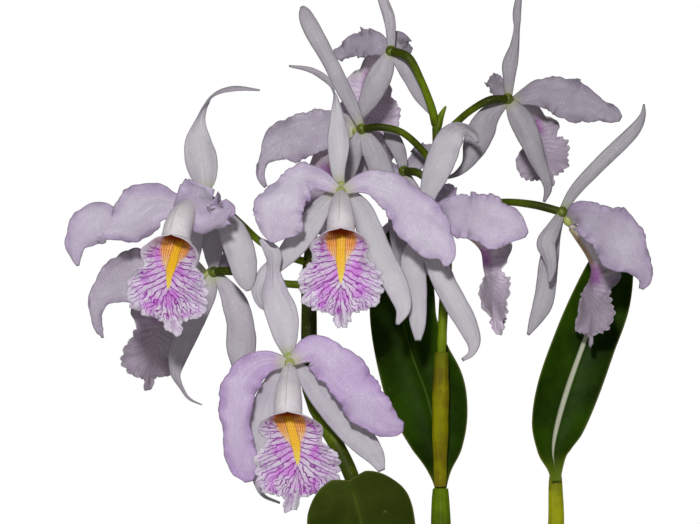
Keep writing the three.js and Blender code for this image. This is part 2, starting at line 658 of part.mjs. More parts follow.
// A turned body: rings about the upright axis through a profile of [radius, height].
function turned(profile, sides) {
  return loft(profile.map(([radius, height]) => Array.from({ length: sides }, (_, k) => {
    const turn = (2 * Math.PI * k) / sides;
    return new THREE.Vector3(radius * Math.cos(turn), radius * Math.sin(turn), height);
  })));
}

function joined(bodies) {
  return bodies.reduce((whole, part) => whole.add(part));
}

function facing(yaw, pitch) {
  const level = Math.cos(radians(pitch));
  return new THREE.Vector3(
    Math.sin(radians(yaw)) * level,
    -Math.cos(radians(yaw)) * level,
    -Math.sin(radians(pitch)),
  );
}

function tepal([cup, ruffle, stations], root, seed, [rows, columns], swell) {
  const line = stations.map(stationAt);
  line.unshift([...root.toArray(), ROOT_HALF_WIDTH, line[0][4]]);
  const grid = bladeGrid(line, cup, ruffle, seed, rows, columns, swell);
  return sheet(grid, TEPAL_THICK + 2 * swell);
}

// The small solid where the tepals of one whorl meet, thin along the bloom's axis.
function whorl(centre, axis, radius, halfThick, swell) {
  const start = centre.clone().addScaledVector(axis, -halfThick);
  const end = centre.clone().addScaledVector(axis, halfThick);
  const ends = [start, centre, end].map((p, i) => (
    [...p.toArray(), i === 1 ? radius : radius * WHORL_TAPER]));
  return bar(ends, 2, WHORL_SIDES, 1, swell);
}

function sepals(bloom, seed, grids, swell) {
  const hub = place(...bloom.at);
  const axis = facing(...bloom.face);
  const blades = ["top_sepal", "left_sepal", "right_sepal"].map((part, k) => (
    tepal(bloom[part], hub, seed + k, grids.sepal, swell)));
  return joined([whorl(hub, axis, HUB_RADIUS, HUB_RADIUS, swell), ...blades]);
}

// How far the limb swings sideways, most midway between the mouth and the tip.
function lipSway(run, sway) {
  const share = Math.max(0, (run - LIMB_START) / (LIP.at(-1)[0] - LIMB_START));
  return sway * Math.sin(Math.PI * share);
}

// Where the lip springs from, and its directions: forward, sideways and down.
function lipFrame(bloom) {
  const { yaw, lean } = bloom.lip;
  const forward = facing(yaw, 0);
  const right = new THREE.Vector3(Math.cos(radians(yaw)), Math.sin(radians(yaw)), 0);
  const down = new THREE.Vector3(0, 0, -1);
  const base = place(...bloom.at).addScaledVector(facing(...bloom.face), LIP_SEAT);
  base.addScaledVector(down, LIP_DROP);
  const c = Math.cos(radians(lean));
  const s = Math.sin(radians(lean));
  return {
    base,
    forward,
    side: right.clone().multiplyScalar(c).addScaledVector(down, s),
    down: down.clone().multiplyScalar(c).addScaledVector(right, -s),
  };
}

// The column runs from the petals' whorl down the middle of the lip's tube.
function column(bloom, swell) {
  const { base, forward, down } = lipFrame(bloom);
  const pitch = radians(bloom.lip.pitch);
  const start = place(...bloom.at).addScaledVector(facing(...bloom.face), PETAL_SEAT);
  const run = COLUMN_LENGTH * bloom.lip.size;
  const rise = COLUMN_RISE * bloom.lip.size;
  const end = base.clone()
    .addScaledVector(forward, Math.cos(pitch) * run + Math.sin(pitch) * rise)
    .addScaledVector(down, Math.sin(pitch) * run - Math.cos(pitch) * rise);
  const middle = start.clone().lerp(end, 0.5);
  const ends = [start, middle, end].map((p, i) => (
    [...p.toArray(), i === 2 ? COLUMN_RADIUS * COLUMN_TAPER : COLUMN_RADIUS]));
  return bar(ends, 2, WHORL_SIDES, 1, swell);
}

function petals(bloom, seed, grids, swell) {
  const axis = facing(...bloom.face);
  const seat = place(...bloom.at).addScaledVector(axis, PETAL_SEAT);
  const blades = ["left_petal", "right_petal"].map((part, k) => (
    tepal(bloom[part], seat, seed + 3 + k, grids.petal, swell)));
  const disc = whorl(seat, axis, DISC_RADIUS, DISC_HALF_THICK, swell);
  return joined([disc, column(bloom, swell), ...blades]);
}

// The midrib of the lip in its own upright plane: forward, down and direction at every row.
function lipMidrib(rows, pitch, hang) {
  const line = [];
  let forward = 0;
  let down = 0;
  let last = null;
  rows.forEach(([run, , , share]) => {
    const angle = radians(pitch + (hang - pitch) * share);
    if (last !== null) {
      const step = (run - last.run) / 2;
      forward += step * (Math.cos(angle) + Math.cos(last.angle));
      down += step * (Math.sin(angle) + Math.sin(last.angle));
    }
    last = { run, angle };
    line.push({ forward, down, angle });
  });
  return line;
}

function lipFrill(v, u, seed) {
  const grow = clamp((v - FRILL_START) * 4);
  const wave = Math.sin(2 * Math.PI * (LIP_WAVES * v + 0.2 * seed + 0.3 * Math.sign(u)));
  return LIP_FRILL * grow * wave * Math.abs(u) ** 3;
}

// Rows down the lip: [run, half width, wrap, bend share], the first two scaled to its size.
function lipRows(size, runs) {
  const line = LIP.map(([run, half, wrap, share]) => [run * size, 0, 0, half * size, wrap, share]);
  const shares = runs.map((run) => run / runs.at(-1));
  return rowsThrough(line, shares).map(([run, , , half, wrap, share]) => [run, half, wrap, share]);
}

// The lip: a tube round the column that opens into a hanging limb with a frilled margin.
function lip(bloom, seed, grids, swell) {
  const { size, pitch, hang } = bloom.lip;
  const { base, forward, side, down } = lipFrame(bloom);
  const line = lipRows(size, grids.lip);
  const midrib = lipMidrib(line, pitch, hang);
  const grid = line.map(([run, width, wrapped], i) => {
    const swung = lipSway(run / size, bloom.lip.sway * size);
    const wrap = radians(Math.max(wrapped, 1));
    const half = Math.max(width, MIN_HALF_WIDTH) + swell;
    const at = midrib[i];
    return Array.from({ length: LIP_COLUMNS + 1 }, (_, j) => {
      const u = (2 * j) / LIP_COLUMNS - 1;
      const across = (Math.sin(wrap * u) / wrap) * half;
      const frill = size * lipFrill(grids.lip[i] / grids.lip.at(-1), u, seed);
      const height = ((1 - Math.cos(wrap * u)) / wrap) * half + frill;
      return base.clone()
        .addScaledVector(forward, at.forward + Math.sin(at.angle) * height)
        .addScaledVector(down, at.down - Math.cos(at.angle) * height)
        .addScaledVector(side, across + swung);
    });
  });
  return sheet(grid, LIP_THICK + 2 * swell);
}

function flowerStem(main, pedicels, extras, swell) {
  const bars = [bar(main.map(stationAt), main.length, STEM_SIDES, 1, swell)];
  Object.values(pedicels).forEach((line) => {
    bars.push(bar(line.map(stationAt), line.length, PEDICEL_SIDES, 1, swell));
  });
  extras.forEach((line) => bars.push(bar(line.map(stationAt), STEM_STEP, PEDICEL_SIDES, 1, swell)));
  return joined(bars);
}

// A leaf's grid drawn back along its end, more at the corners and in a notch at the midrib.
function blunted(grid, [corners, notch]) {
  const rows = grid.length - 1;
  const columns = grid[0].length - 1;
  const end = grid[rows][columns / 2].clone().sub(grid[rows - 1][columns / 2]).normalize();
  return grid.map((row, i) => row.map((p, j) => {
    const u = Math.abs((2 * j) / columns - 1);
    const share = clamp((i / rows - TIP_START) / (1 - TIP_START)) ** 2;
    const short = corners * u ** 3 + notch * clamp(1 - 3 * u);
    return p.clone().addScaledVector(end, -short * share * GRID);
  }));
}

function leaf([cup, ruffle, stations, short], seed, swell) {
  const line = stations.map(stationAt);
  const grid = bladeGrid(line, cup, ruffle, seed, LEAF_ROWS, LEAF_COLUMNS, swell);
  return sheet(blunted(grid, short), LEAF_THICK + 2 * swell);
}

function bulb(stations, swell) {
  return bar(stations.map(stationAt), stations.length, BULB_SIDES, BULB_FLATTEN, swell);
}

function sheath(swell) {
  return bar(SHEATH.map(stationAt), SHEATH.length + 1, BULB_SIDES, SHEATH_FLATTEN, swell);
}

// The inside of the pot at a height.
function potInside(z) {
  const slope = (POT_TOP_RADIUS - RIM_STEP - POT_BASE_RADIUS) / (POT_HEIGHT - RIM_HEIGHT);
  return POT_BASE_RADIUS - WALL + slope * Math.min(z, POT_HEIGHT);
}

function pot() {
  const profile = [
    [potInside(FLOOR), FLOOR],
    [potInside(POT_HEIGHT), POT_HEIGHT],
    [POT_TOP_RADIUS, POT_HEIGHT],
    [POT_TOP_RADIUS, POT_HEIGHT - RIM_HEIGHT],
    [POT_TOP_RADIUS - RIM_STEP, POT_HEIGHT - RIM_HEIGHT],
    [POT_BASE_RADIUS, 0],
  ];
  let clay = turned(profile, POT_SIDES);
  for (let k = 0; k < DRAIN_HOLES; k += 1) {
    const turn = (2 * Math.PI * (k + 0.5)) / DRAIN_HOLES;
    const centre = new THREE.Vector3(Math.cos(turn), Math.sin(turn), 0).multiplyScalar(DRAIN_CIRCLE);
    const ends = [-FLOOR, 0, 2 * FLOOR].map((z) => [centre.x, centre.y, z, DRAIN_RADIUS]);
    clay = clay.subtract(bar(ends, 2, BULB_SIDES, 1, 0));
  }
  return clay;
}

// Bark fills the pot to a low uneven crown.
function bark(swell) {
  const rings = [];
  const ring = (radius, height) => Array.from({ length: POT_SIDES / 2 }, (_, k) => {
    const turn = (2 * Math.PI * k) / (POT_SIDES / 2);
    return new THREE.Vector3(radius * Math.cos(turn), radius * Math.sin(turn), height(k));
  });
  rings.push(ring(potInside(FLOOR) - GAP * 2, () => FLOOR + GAP));
  for (let i = 0; i < BARK_RINGS; i += 1) {
    const share = 1 - i / BARK_RINGS;
    const crown = BARK_EDGE_Z + BARK_CROWN * (1 - share ** 2);
    const rough = (k) => BARK_ROUGHNESS * Math.sin(2.3 * k + 1.7 * i) * Math.cos(1.1 * k * (i + 1));
    rings.push(ring((potInside(BARK_EDGE_Z) - GAP * 2) * share, (k) => crown + rough(k) + swell));
  }
  return loft(rings);
}

// The biggest of the bodies a cut leaves.
function largest(solid) {
  const parts = solid.decompose();
  return parts.reduce((best, part) => (part.volume() > best.volume() ? part : best));
}

function near(a, b) {
  const p = a.boundingBox();
  const q = b.boundingBox();
  return [0, 1, 2].every((k) => p.min[k] < q.max[k] && q.min[k] < p.max[k]);
}

// Every node with its shape at a swelling; each keeps clear of those before it.
function nodeList() {
  const list = [];
  Object.entries(BLOOMS).forEach(([name, bloom], k) => {
    const seed = 7 * k;
    const grids = BACK_BLOOMS.includes(name) ? BACK_GRIDS : FRONT_GRIDS;
    list.push([`bloom_${name}_petals`, "petals", (swell) => petals(bloom, seed, grids, swell)]);
    list.push([`bloom_${name}_lip`, "lip", (swell) => lip(bloom, seed, grids, swell)]);
    list.push([`bloom_${name}_sepals`, "sepals", (swell) => sepals(bloom, seed, grids, swell)]);
  });
  list.push(["flower_stem_right", "stem", (swell) => (
    flowerStem(RIGHT_STEM, RIGHT_PEDICELS, [BRACT], swell))]);
  list.push(["flower_stem_left", "stem", (swell) => (
    flowerStem(LEFT_STEM, LEFT_PEDICELS, [], swell))]);
  list.push(["sheath", "sheath", sheath]);
  list.push(["leaf_middle", "leaf", (swell) => leaf(MIDDLE_LEAF, 1, swell)]);
  list.push(["leaf_right", "leaf", (swell) => leaf(RIGHT_LEAF, 2, swell)]);
  list.push(["leaf_front", "leaf", (swell) => leaf(FRONT_LEAF, 3, swell)]);
  list.push(["pseudobulb_middle", "bulb", (swell) => bulb(MIDDLE_BULB, swell)]);
  list.push(["pseudobulb_right", "bulb", (swell) => bulb(RIGHT_BULB, swell)]);
  list.push(["pseudobulb_front", "bulb", (swell) => bulb(FRONT_BULB, swell)]);
  list.push(["bark", "bark", bark]);
  list.push(["pot", "pot", pot]);
  return list;
}

function meshOf(solid, name, kind) {
  const { vertProperties, triVerts } = solid.getMesh();
  const geometry = new THREE.BufferGeometry();
  geometry.setAttribute("position", new THREE.BufferAttribute(new Float32Array(vertProperties), 3));
  geometry.setIndex(new THREE.BufferAttribute(new Uint32Array(triVerts), 1));
  geometry.computeVertexNormals();
  const [color, roughness] = COLOURS[kind];
  const mesh = new THREE.Mesh(geometry, new THREE.MeshStandardMaterial({ color, roughness, metalness: 0 }));
  mesh.name = name;
  return mesh;
}

const group = new THREE.Group();
group.name = "cattleya_orchid";
const taken = [];
nodeList().forEach(([name, kind, shape]) => {
  let solid = shape(0);
  taken.filter((other) => near(other, solid)).forEach((other) => {
    solid = largest(solid.subtract(other));
  });
  taken.push(shape(GAP));
  group.add(meshOf(solid, name, kind));
});

export default group;
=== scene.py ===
"""A potted cattleya orchid in flower, dressed over its solid model.

Ten lilac blooms with frilled, veined lips stand on two flower stems above three strap leaves,
their pseudobulbs, a bed of bark and a plain clay pot. Every piece is a surface worked out from a
formula and put where the solid model has it. Metres, +Z up, the front towards -Y.
"""

import math

import bpy
import numpy as np
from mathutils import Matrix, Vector


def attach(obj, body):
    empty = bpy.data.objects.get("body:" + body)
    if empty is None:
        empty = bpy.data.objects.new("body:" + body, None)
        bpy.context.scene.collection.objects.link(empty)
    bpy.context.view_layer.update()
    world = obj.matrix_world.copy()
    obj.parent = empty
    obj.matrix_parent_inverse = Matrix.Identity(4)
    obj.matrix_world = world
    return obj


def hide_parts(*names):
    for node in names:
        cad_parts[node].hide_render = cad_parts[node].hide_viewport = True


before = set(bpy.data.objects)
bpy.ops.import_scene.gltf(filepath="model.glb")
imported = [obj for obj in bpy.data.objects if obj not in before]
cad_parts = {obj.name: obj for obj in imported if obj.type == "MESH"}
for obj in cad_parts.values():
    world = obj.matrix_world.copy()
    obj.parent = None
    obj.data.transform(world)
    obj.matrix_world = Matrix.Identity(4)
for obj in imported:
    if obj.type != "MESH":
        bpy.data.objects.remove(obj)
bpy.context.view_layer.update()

bl_info = {
    "name": "Potted Cattleya Orchid",
    "version": (1, 0, 0),
    "blender": (4, 5, 0),
    "location": "3D View > Sidebar > Orchid",
    "description": "Builds a potted cattleya orchid in flower, piece by piece",
    "category": "Add Mesh",
}

BODY = "root"

# Places are written as on a front drawing of the plant: x to the right, y downwards and depth
# away from the front, in squares of GRID. The drawing is in perspective, from EYE away.
GRID = 0.0006
AXIS_X = 455
TOP_Z = 0.560
EYE = 2.0
EYE_X = 350
EYE_Y = 262

MM = 0.001
MIN_HALF_WIDTH = 0.0006
ROOT_HALF_WIDTH = 0.0024
PETAL_SEAT = 0.0066
LIP_SEAT = 0.008
LIP_DROP = 0.004
HUB_RADIUS = 0.0034
DISC_RADIUS = 0.003
DISC_HALF_THICK = 0.0034
COLUMN_LENGTH = 0.025
COLUMN_RADIUS = 0.0024
COLUMN_RISE = 0.0062
TEPAL_WAVES = 2.6
TEPAL_LOBES = 0.12
SHEATH_FLATTEN = 0.95
BULB_FLATTEN = 0.8
# The tops of the bulbs stand this much higher than in the solid model, nearer to the leaves.
BULB_RISE = 0.0007
WALL_GAP = 0.0007
RIM_ROUND = 0.0018
DRAIN_HOLES = 4
CHIP_POINTS = 18
CHIP_SEED = 5
CHIP_KNOCK = 0.16
CHIP_LEAN = 0.28
CHIP_SIZES = ((0.0045, 0.0095), (0.003, 0.0062), (0.0012, 0.0024))
CHIP_LIFT = 0.0022
FLOOR_SIDES = 96
FLOOR_DROP = 0.0002
TIP_START = 0.65
LIMB_START = 0.036

# The lip from its base to its tip: distance along the midrib, half width round the sheet, how
# far each side wraps round the column in degrees, and its share of the bend down to the limb.
LIP = (
    (0, 0.007, 166, 0), (0.006, 0.014, 180, 0), (0.016, 0.020, 186, 0.02),
    (0.025, 0.024, 187, 0.14), (0.031, 0.026, 187, 0.4), (0.036, 0.0265, 182, 0.72),
    (0.0372, 0.0245, 136, 0.79), (0.0386, 0.0225, 108, 0.86), (0.041, 0.022, 82, 0.93),
    (0.044, 0.0215, 60, 0.98), (0.047, 0.0185, 45, 1), (0.0505, 0.0175, 37, 1),
    (0.054, 0.0215, 30, 1), (0.059, 0.025, 24, 1), (0.065, 0.0255, 18, 1), (0.071, 0.0245, 13, 1),
    (0.076, 0.0225, 10, 1), (0.0795, 0.018, 8, 1), (0.0815, 0.010, 6, 1), (0.0835, 0.005, 5, 1),
    (0.0865, 0.0054, 4, 0.97), (0.0895, 0.0036, 2, 0.94), (0.091, 0.0012, 0, 0.9),
)

# Every bloom: where it sits, the way it faces (yaw and downward pitch), its lip, and five
# tepals as (cup, ruffle, stations). A station is (x, y, depth, half width, roll), and what is
# left out at its end is 0.
BLOOMS = {
    "a": dict(
        at=(341, 187, 0), face=(0, 25),
        lip=dict(yaw=0, pitch=33, hang=88, lean=0, sway=0, size=0.98),
        top_sepal=(25, 0.6, [
            (338, 171, 3, 7.5), (338.5, 142, 5, 11.5), (337, 118, 7, 7.5), (335.5, 99, 9, 3.6, 30),
            (332, 88, 10, 3.2, 110), (324, 78, 12, 4.2, 150), (310, 70, 13, 3.2, 150),
            (289, 66, 15, 1.2, 150),
        ]),
        left_sepal=(20, 0.5, [
            (322, 207, 6, 10), (308, 227, 9, 13), (294, 246, 12, 12), (280, 262, 16, 9, 10),
            (266, 274, 19, 8, 10), (257, 290, 18, 6.5, -20), (262, 306, 15, 5, -50),
            (277, 311, 13, 4, -60), (292, 303, 12, 3, -40),
        ]),
        right_sepal=(20, 0.5, [
            (359, 207, 5, 11), (369, 229, 7, 13), (379, 252, 8, 13.5), (390, 274, 8, 13),
            (399, 292, 7, 11.5), (403, 309, 5, 8), (397, 325, 2, 1.6),
        ]),
        left_petal=(-14, 2.6, [
            (318, 179, -8, 12, 10), (303, 179, -12, 17, 15), (290, 191, -18, 20, 10),
            (281, 207, -21, 24), (278, 221, -21, 27), (274, 233, -18, 17), (272, 243, -15, 2),
        ]),
        right_petal=(-14, 2.8, [
            (364, 183, -9, 11), (384, 187, -13, 17), (403, 200, -19, 21), (419, 223, -27, 26),
            (436, 241, -33, 20), (446, 255, -35, 11), (446, 267, -34, 2),
        ]),
    ),
    "b": dict(
        at=(203, 196, 4), face=(-30, 20),
        lip=dict(yaw=-16, pitch=29, hang=91, lean=2, sway=-6, size=1),
        top_sepal=(30, 0.6, [
            (204, 178, 6, 13.5), (201, 158, 8, 17), (198.5, 140, 9, 13.5), (200, 121, 9, 6, 20),
            (205, 105, 8, 4.4, 70), (216, 93, 6, 4.5, 120), (236, 88, 3, 3.6, 140),
            (260, 90, 0, 1.2, 140),
        ]),
        left_sepal=(20, 0.5, [
            (196, 218, 10, 10), (191, 240, 14, 13), (186, 264, 16, 12), (183, 286, 16, 8),
            (180, 304, 13, 2),
        ]),
        right_sepal=(-35, 0.6, [
            (222, 216, 8, 9), (232, 232, 8, 15), (240, 251, 8, 16), (244, 270, 9, 14),
            (247, 284, 12, 9), (249, 291, 15, 3),
        ]),
        left_petal=(-12, 3.6, [
            (176, 204, -4, 12), (154, 204, -6, 21.5), (133, 217, -8, 26.5), (113, 224, -10, 16),
            (99, 221.5, -13, 21), (85, 232, -14, 18), (76, 244.5, -12, 11.5), (76, 257, -10, 6),
            (78, 266, -8, 1.5),
        ]),
        right_petal=(-24, 6, [
            (200, 187, -16, 15), (197, 199, -32, 23, -10), (202, 214, -44, 20, -10),
            (212, 222, -47, 15, 20), (224, 213, -42, 13, 30), (231, 202, -36, 6, 20),
        ]),
    ),
    "c": dict(
        at=(289, 358, -14), face=(5, 25),
        lip=dict(yaw=-1, pitch=43, hang=87, lean=0, sway=5.5, size=1),
        top_sepal=(25, 0.8, [
            (286, 338, -12, 12.5), (282, 315, -9, 16.5), (275, 293, -6, 14), (273, 272, -4, 8, 30),
            (272, 254, -2, 10, 30), (260, 239, 0, 2, 20),
        ]),
        left_sepal=(20, 0.5, [
            (273, 386, -8, 11), (265, 410, -6, 14), (260, 437, -4, 13), (257, 460, -3, 8),
            (256, 480, -3, 3.5), (263, 495, -4, 2), (280, 503, -5, 1.2),
        ]),
        right_sepal=(20, 0.5, [
            (311, 382, -9, 11), (328, 403, -7, 14), (345, 423, -6, 14.5), (362, 440, -6, 14),
            (375, 456, -7, 10), (382, 471, -8, 3.5),
        ]),
        left_petal=(-14, 2.6, [
            (267, 362, -20, 12), (250, 371, -24, 17), (240, 388, -26, 18), (236, 409, -27, 17),
            (236, 431, -27, 14.5), (240, 453, -25, 16), (246, 470, -22, 14), (249, 482, -20, 4),
        ]),
        right_petal=(-12, 2.6, [
            (311, 350, -20, 15), (327, 359, -23, 21), (341, 372, -25, 22), (355, 389, -27, 22),
            (369, 406, -28, 22), (382, 420, -28, 18), (394, 426, -26, 12), (404, 427, -22, 5),
        ]),
    ),
    "d": dict(
        at=(214, 272, 60), face=(-130, 15),
        lip=dict(yaw=-130, pitch=19, hang=74, lean=0, sway=2, size=1),
        top_sepal=(-20, 0.5, [
            (213, 255, 60, 9), (213, 238, 61, 12), (215, 222, 63, 8), (218, 211, 66, 2),
        ]),
        left_sepal=(-25, 0.6, [
            (207, 291, 58, 10.5), (198, 310, 56, 12), (188, 330, 54, 12.5), (179, 352, 53, 11),
            (175, 373, 54, 7, 30), (181, 388, 56, 3.8, 60), (189, 399, 58, 2.6, 60),
            (202, 405, 60, 1.2, 60),
        ]),
        right_sepal=(-25, 0.6, [
            (227, 289, 56, 9.5), (235, 304, 54, 13.5), (240, 322, 52, 14), (241, 345, 52, 15.5),
            (242, 368, 53, 10), (243, 386, 56, 2),
        ]),
        left_petal=(16, 3, [
            (189, 269, 58, 13), (164, 271, 50, 24), (143, 276, 45, 29), (125, 281, 42, 26),
            (110, 288, 42, 18), (100, 297, 42, 12), (96, 310, 43, 8), (98, 325, 45, 5, 20),
            (103, 338, 47, 1.5, 30),
        ]),
        right_petal=(25, 2, [
            (224, 264, 76, 9), (233, 256, 86, 14), (240, 250, 98, 14), (246, 252, 108, 8),
            (250, 258, 114, 2),
        ]),
    ),
    "e": dict(
        at=(362, 129, 60), face=(-150, 15),
        lip=dict(yaw=-135, pitch=30, hang=90, lean=0, sway=0, size=0.85),
        top_sepal=(-25, 0.5, [
            (354, 110, 58, 6.5), (341, 84, 56, 8), (329, 60, 56, 8), (317, 38, 57, 9),
            (308, 21, 60, 8.5), (304, 11, 63, 6), (302, 6, 65, 2),
        ]),
        left_sepal=(-20, 0.5, [
            (355, 148, 60, 9), (351, 163, 61, 9), (349, 177, 63, 6), (350, 190, 66, 2),
        ]),
        right_sepal=(-25, 0.5, [
            (371, 147, 57, 11), (379, 164, 55, 12.5), (384, 182, 55, 13), (388, 200, 57, 9),
            (395, 214, 60, 2),
        ]),
        left_petal=(16, 2.6, [
            (344, 129, 70, 16), (325, 131, 74, 21), (306, 134.5, 77, 22.5), (290, 139.5, 79, 23),
            (278, 146, 80, 18), (268, 156, 80, 9), (262, 166, 80, 4.5, 10), (261, 177, 79, 4, 20),
            (266, 187, 77, 2.5, 30),
        ]),
        right_petal=(20, 1.6, [
            (372, 138, 80, 9), (378, 148, 94, 11), (383, 160, 106, 10), (387, 172, 114, 3),
        ]),
    ),
    "f": dict(
        at=(391, 51, 62), face=(180, 15),
        lip=dict(yaw=-159, pitch=6, hang=85, lean=-3, sway=0, size=0.82),
        top_sepal=(-20, 0.5, [
            (391, 34, 61, 5), (389, 17, 61, 6), (384, 3, 63, 5.5), (379, -10, 66, 4),
            (375, -20, 70, 1.5),
        ]),
        left_sepal=(-25, 0.5, [
            (384, 67, 61, 11), (376, 84, 60, 13), (368, 101, 64, 10), (361, 114, 69, 6),
            (356, 124, 75, 2),
        ]),
        right_sepal=(-25, 0.5, [
            (406, 68, 61, 9), (415, 82, 62, 9.5), (422, 97, 63, 7.5), (431, 113, 66, 2.5),
        ]),
        left_petal=(18, 3, [
            (378, 45, 74, 12), (365, 44, 80, 14, 10), (355, 45, 86, 13, 10), (346, 53, 92, 7, 20),
            (339, 53, 94, 8, 20), (333, 52, 96, 3, 20),
        ]),
        right_petal=(20, 2.4, [
            (397, 42, 76, 10), (401, 43, 88, 8), (406, 48, 98, 5), (412, 51, 104, 2.5),
        ]),
    ),
    "g": dict(
        at=(508, 99, 50), face=(160, 15),
        lip=dict(yaw=150, pitch=9, hang=86, lean=14, sway=0, size=0.74),
        top_sepal=(-25, 0.6, [
            (509, 81, 49, 6), (510, 64, 48, 8), (515, 46, 48, 5.2, 10), (517, 28, 49, 3.8, 20),
            (517, 12, 50, 4.4), (519, -3, 52, 3.2), (521, -14, 54, 1.2),
        ]),
        left_sepal=(-25, 0.6, [
            (490, 115, 47, 11), (481, 131, 45, 14.5), (474, 149, 44, 12), (467, 164, 44, 6),
            (458, 173, 45, 3.4), (448, 178, 46, 1.4),
        ]),
        right_sepal=(-25, 0.6, [
            (517, 113, 47, 11), (525, 127, 46, 12.5), (532, 144, 45, 11), (538, 161, 44, 8.5),
            (545, 176, 44, 6), (548, 189, 45, 4.4), (544, 202, 47, 1.5),
        ]),
        left_petal=(20, 1.8, [
            (500, 91, 66, 8), (496, 84, 78, 9), (492, 80, 90, 7), (489, 79, 98, 3),
        ]),
        right_petal=(16, 3, [
            (528, 96, 60, 10), (541, 93, 61, 15.5), (556, 94, 62, 18.5), (572, 102, 63, 22),
            (588, 106, 63, 16), (603, 111, 62, 11), (615, 116, 61, 8), (621, 119, 60, 3),
        ]),
    ),
    "h": dict(
        at=(562, 212, 8), face=(85, 55),
        lip=dict(yaw=118, pitch=50, hang=94, lean=0, sway=0, size=0.84),
        top_sepal=(-20, 0.5, [
            (574, 192, 8, 6), (593, 171, 8, 7), (610, 154, 8, 7.4), (625, 140, 8, 7.2),
            (637, 127, 7, 6, 10), (643, 115, 6, 3.5, 20), (644, 104, 5, 1, 20),
        ]),
        left_sepal=(-25, 0.6, [
            (553, 230, -2, 8), (546, 243, -5, 10, 10), (549, 256, -6, 8, 20),
            (551, 269, -6, 5.5, 20), (549, 283, -5, 1.5, 20),
        ]),
        right_sepal=(-25, 0.6, [
            (553, 236, 12, 8), (549, 262, 13, 10), (546, 288, 13, 10.5), (542, 306, 12, 10),
            (535, 321, 11, 6.5), (528, 335, 10, 1.5),
        ]),
        left_petal=(14, 3, [
            (580, 215, -14, 14), (596, 223, -30, 21), (612, 234, -43, 26), (627, 251, -50, 25),
            (639, 266, -51, 14), (645, 279, -47, 7), (641, 289, -41, 2.5),
        ]),
        right_petal=(20, 2.2, [
            (580, 213, 30, 10), (595, 222, 46, 16), (610, 234, 58, 19), (623, 248, 64, 14),
            (631, 260, 65, 4),
        ]),
    ),
    "i": dict(
        at=(426, 213, 10), face=(80, 15),
        lip=dict(yaw=108, pitch=25, hang=78, lean=0, sway=0, size=0.93),
        top_sepal=(25, 0.6, [
            (429, 192, 9, 9.5), (436, 173, 7, 14), (443, 155, 5, 15), (449, 140, 3, 14),
            (457, 130, 1, 12, 30), (467, 128, 0, 10, 60), (475, 134, 0, 7, 60),
            (478, 143, 1, 2, 40),
        ]),
        left_sepal=(20, 0.5, [
            (421, 236, 13, 10), (413, 258, 16, 12), (414, 282, 17, 13), (417, 305, 17, 10),
            (418, 325, 16, 8), (418, 341, 15, 3),
        ]),
        right_sepal=(-25, 0.5, [
            (430, 240, 6, 10), (436, 262, 4, 12), (445, 284, 2, 12), (456, 304, 0, 12),
            (466, 322, -1, 11), (473, 340, -1, 8), (471, 353, -1, 4, 30), (462, 360, -1, 2, 30),
        ]),
        left_petal=(14, 2.8, [
            (446, 212, -10, 13), (461, 214, -24, 22), (478, 218, -37, 24), (495, 224, -43, 25),
            (508, 226, -45, 21), (518, 230, -45, 13), (527, 235, -42, 3),
        ]),
        right_petal=(20, 1.8, [
            (439, 204, 28, 9), (444, 198, 40, 11), (448, 192, 50, 9), (450, 187, 58, 6),
            (451, 184, 62, 2),
        ]),
    ),
    "j": dict(
        at=(404, 171, 78), face=(175, 15),
        lip=dict(yaw=175, pitch=45, hang=90, lean=0, sway=0, size=0.85),
        top_sepal=(-20, 0.5, [
            (401, 158, 77, 6.5), (397, 147, 76, 8), (391, 137, 75, 8), (386, 129, 75, 3),
        ]),
        left_sepal=(-20, 0.5, [
            (401, 190, 76, 8), (399, 214, 75, 11), (400, 240, 74, 10), (400, 260, 75, 6),
            (399, 274, 77, 2),
        ]),
        right_sepal=(-20, 0.5, [
            (411, 190, 76, 9), (419, 212, 76, 12), (424, 236, 76, 12), (426, 258, 77, 8),
            (427, 275, 79, 2),
        ]),
        left_petal=(20, 2, [
            (388, 171, 90, 11), (371, 169, 93, 15), (357, 169, 95, 12), (347, 172, 96, 4),
        ]),
        right_petal=(20, 2, [
            (415, 163, 92, 9), (422, 156, 100, 11), (428, 150, 108, 8), (433, 146, 114, 2),
        ]),
    ),
}

# Stems, sheath and bulbs: a station is (x, y, depth, radius).
RIGHT_STEM = [
    (440.5, 487, 70, 3.4), (440.5, 440, 69, 4.2), (440.5, 380, 68, 4.4), (442, 340, 68, 4.6),
    (444, 300, 68, 5), (447, 268, 68, 5), (446, 235, 68, 5), (441, 200, 68, 5),
    (437, 168, 68, 4.8), (437, 140, 68, 4.6), (436, 122, 67, 4.2),
]
RIGHT_PEDICELS = {
    "e": [
        (438, 174, 68, 4.4), (427, 156, 62, 3.8), (403, 133, 52, 3.6), (380, 127, 50, 3.8),
        (362, 129, 60, 4),
    ],
    "f": [
        (436, 126, 67, 4.4), (431, 106, 60, 4), (420, 78, 51, 3.8), (408, 57, 48, 4.2),
        (391, 51, 62, 4.6),
    ],
    "g": [
        (438, 142, 68, 4.2), (450, 129, 58, 3.8), (470, 111, 45, 3.6), (490, 100, 37, 4),
        (508, 99, 50, 4.4),
    ],
    "h": [
        (443, 212, 68, 4.2), (470, 206, 50, 3.6), (505, 202, 28, 3.6), (535, 205, 14, 4),
        (562, 212, 8, 4.2),
    ],
    "i": [
        (446, 234, 68, 4), (443, 226, 50, 3.6), (436, 218, 30, 3.8), (426, 213, 10, 4),
    ],
    "j": [
        (441, 198, 68, 4.2), (430, 183, 64, 3.8), (418, 173, 64, 4), (404, 171, 78, 4.2),
    ],
}
BRACT = [
    (437, 128, 67, 4.6), (441, 116, 66, 3.2), (446, 106, 65, 1),
]
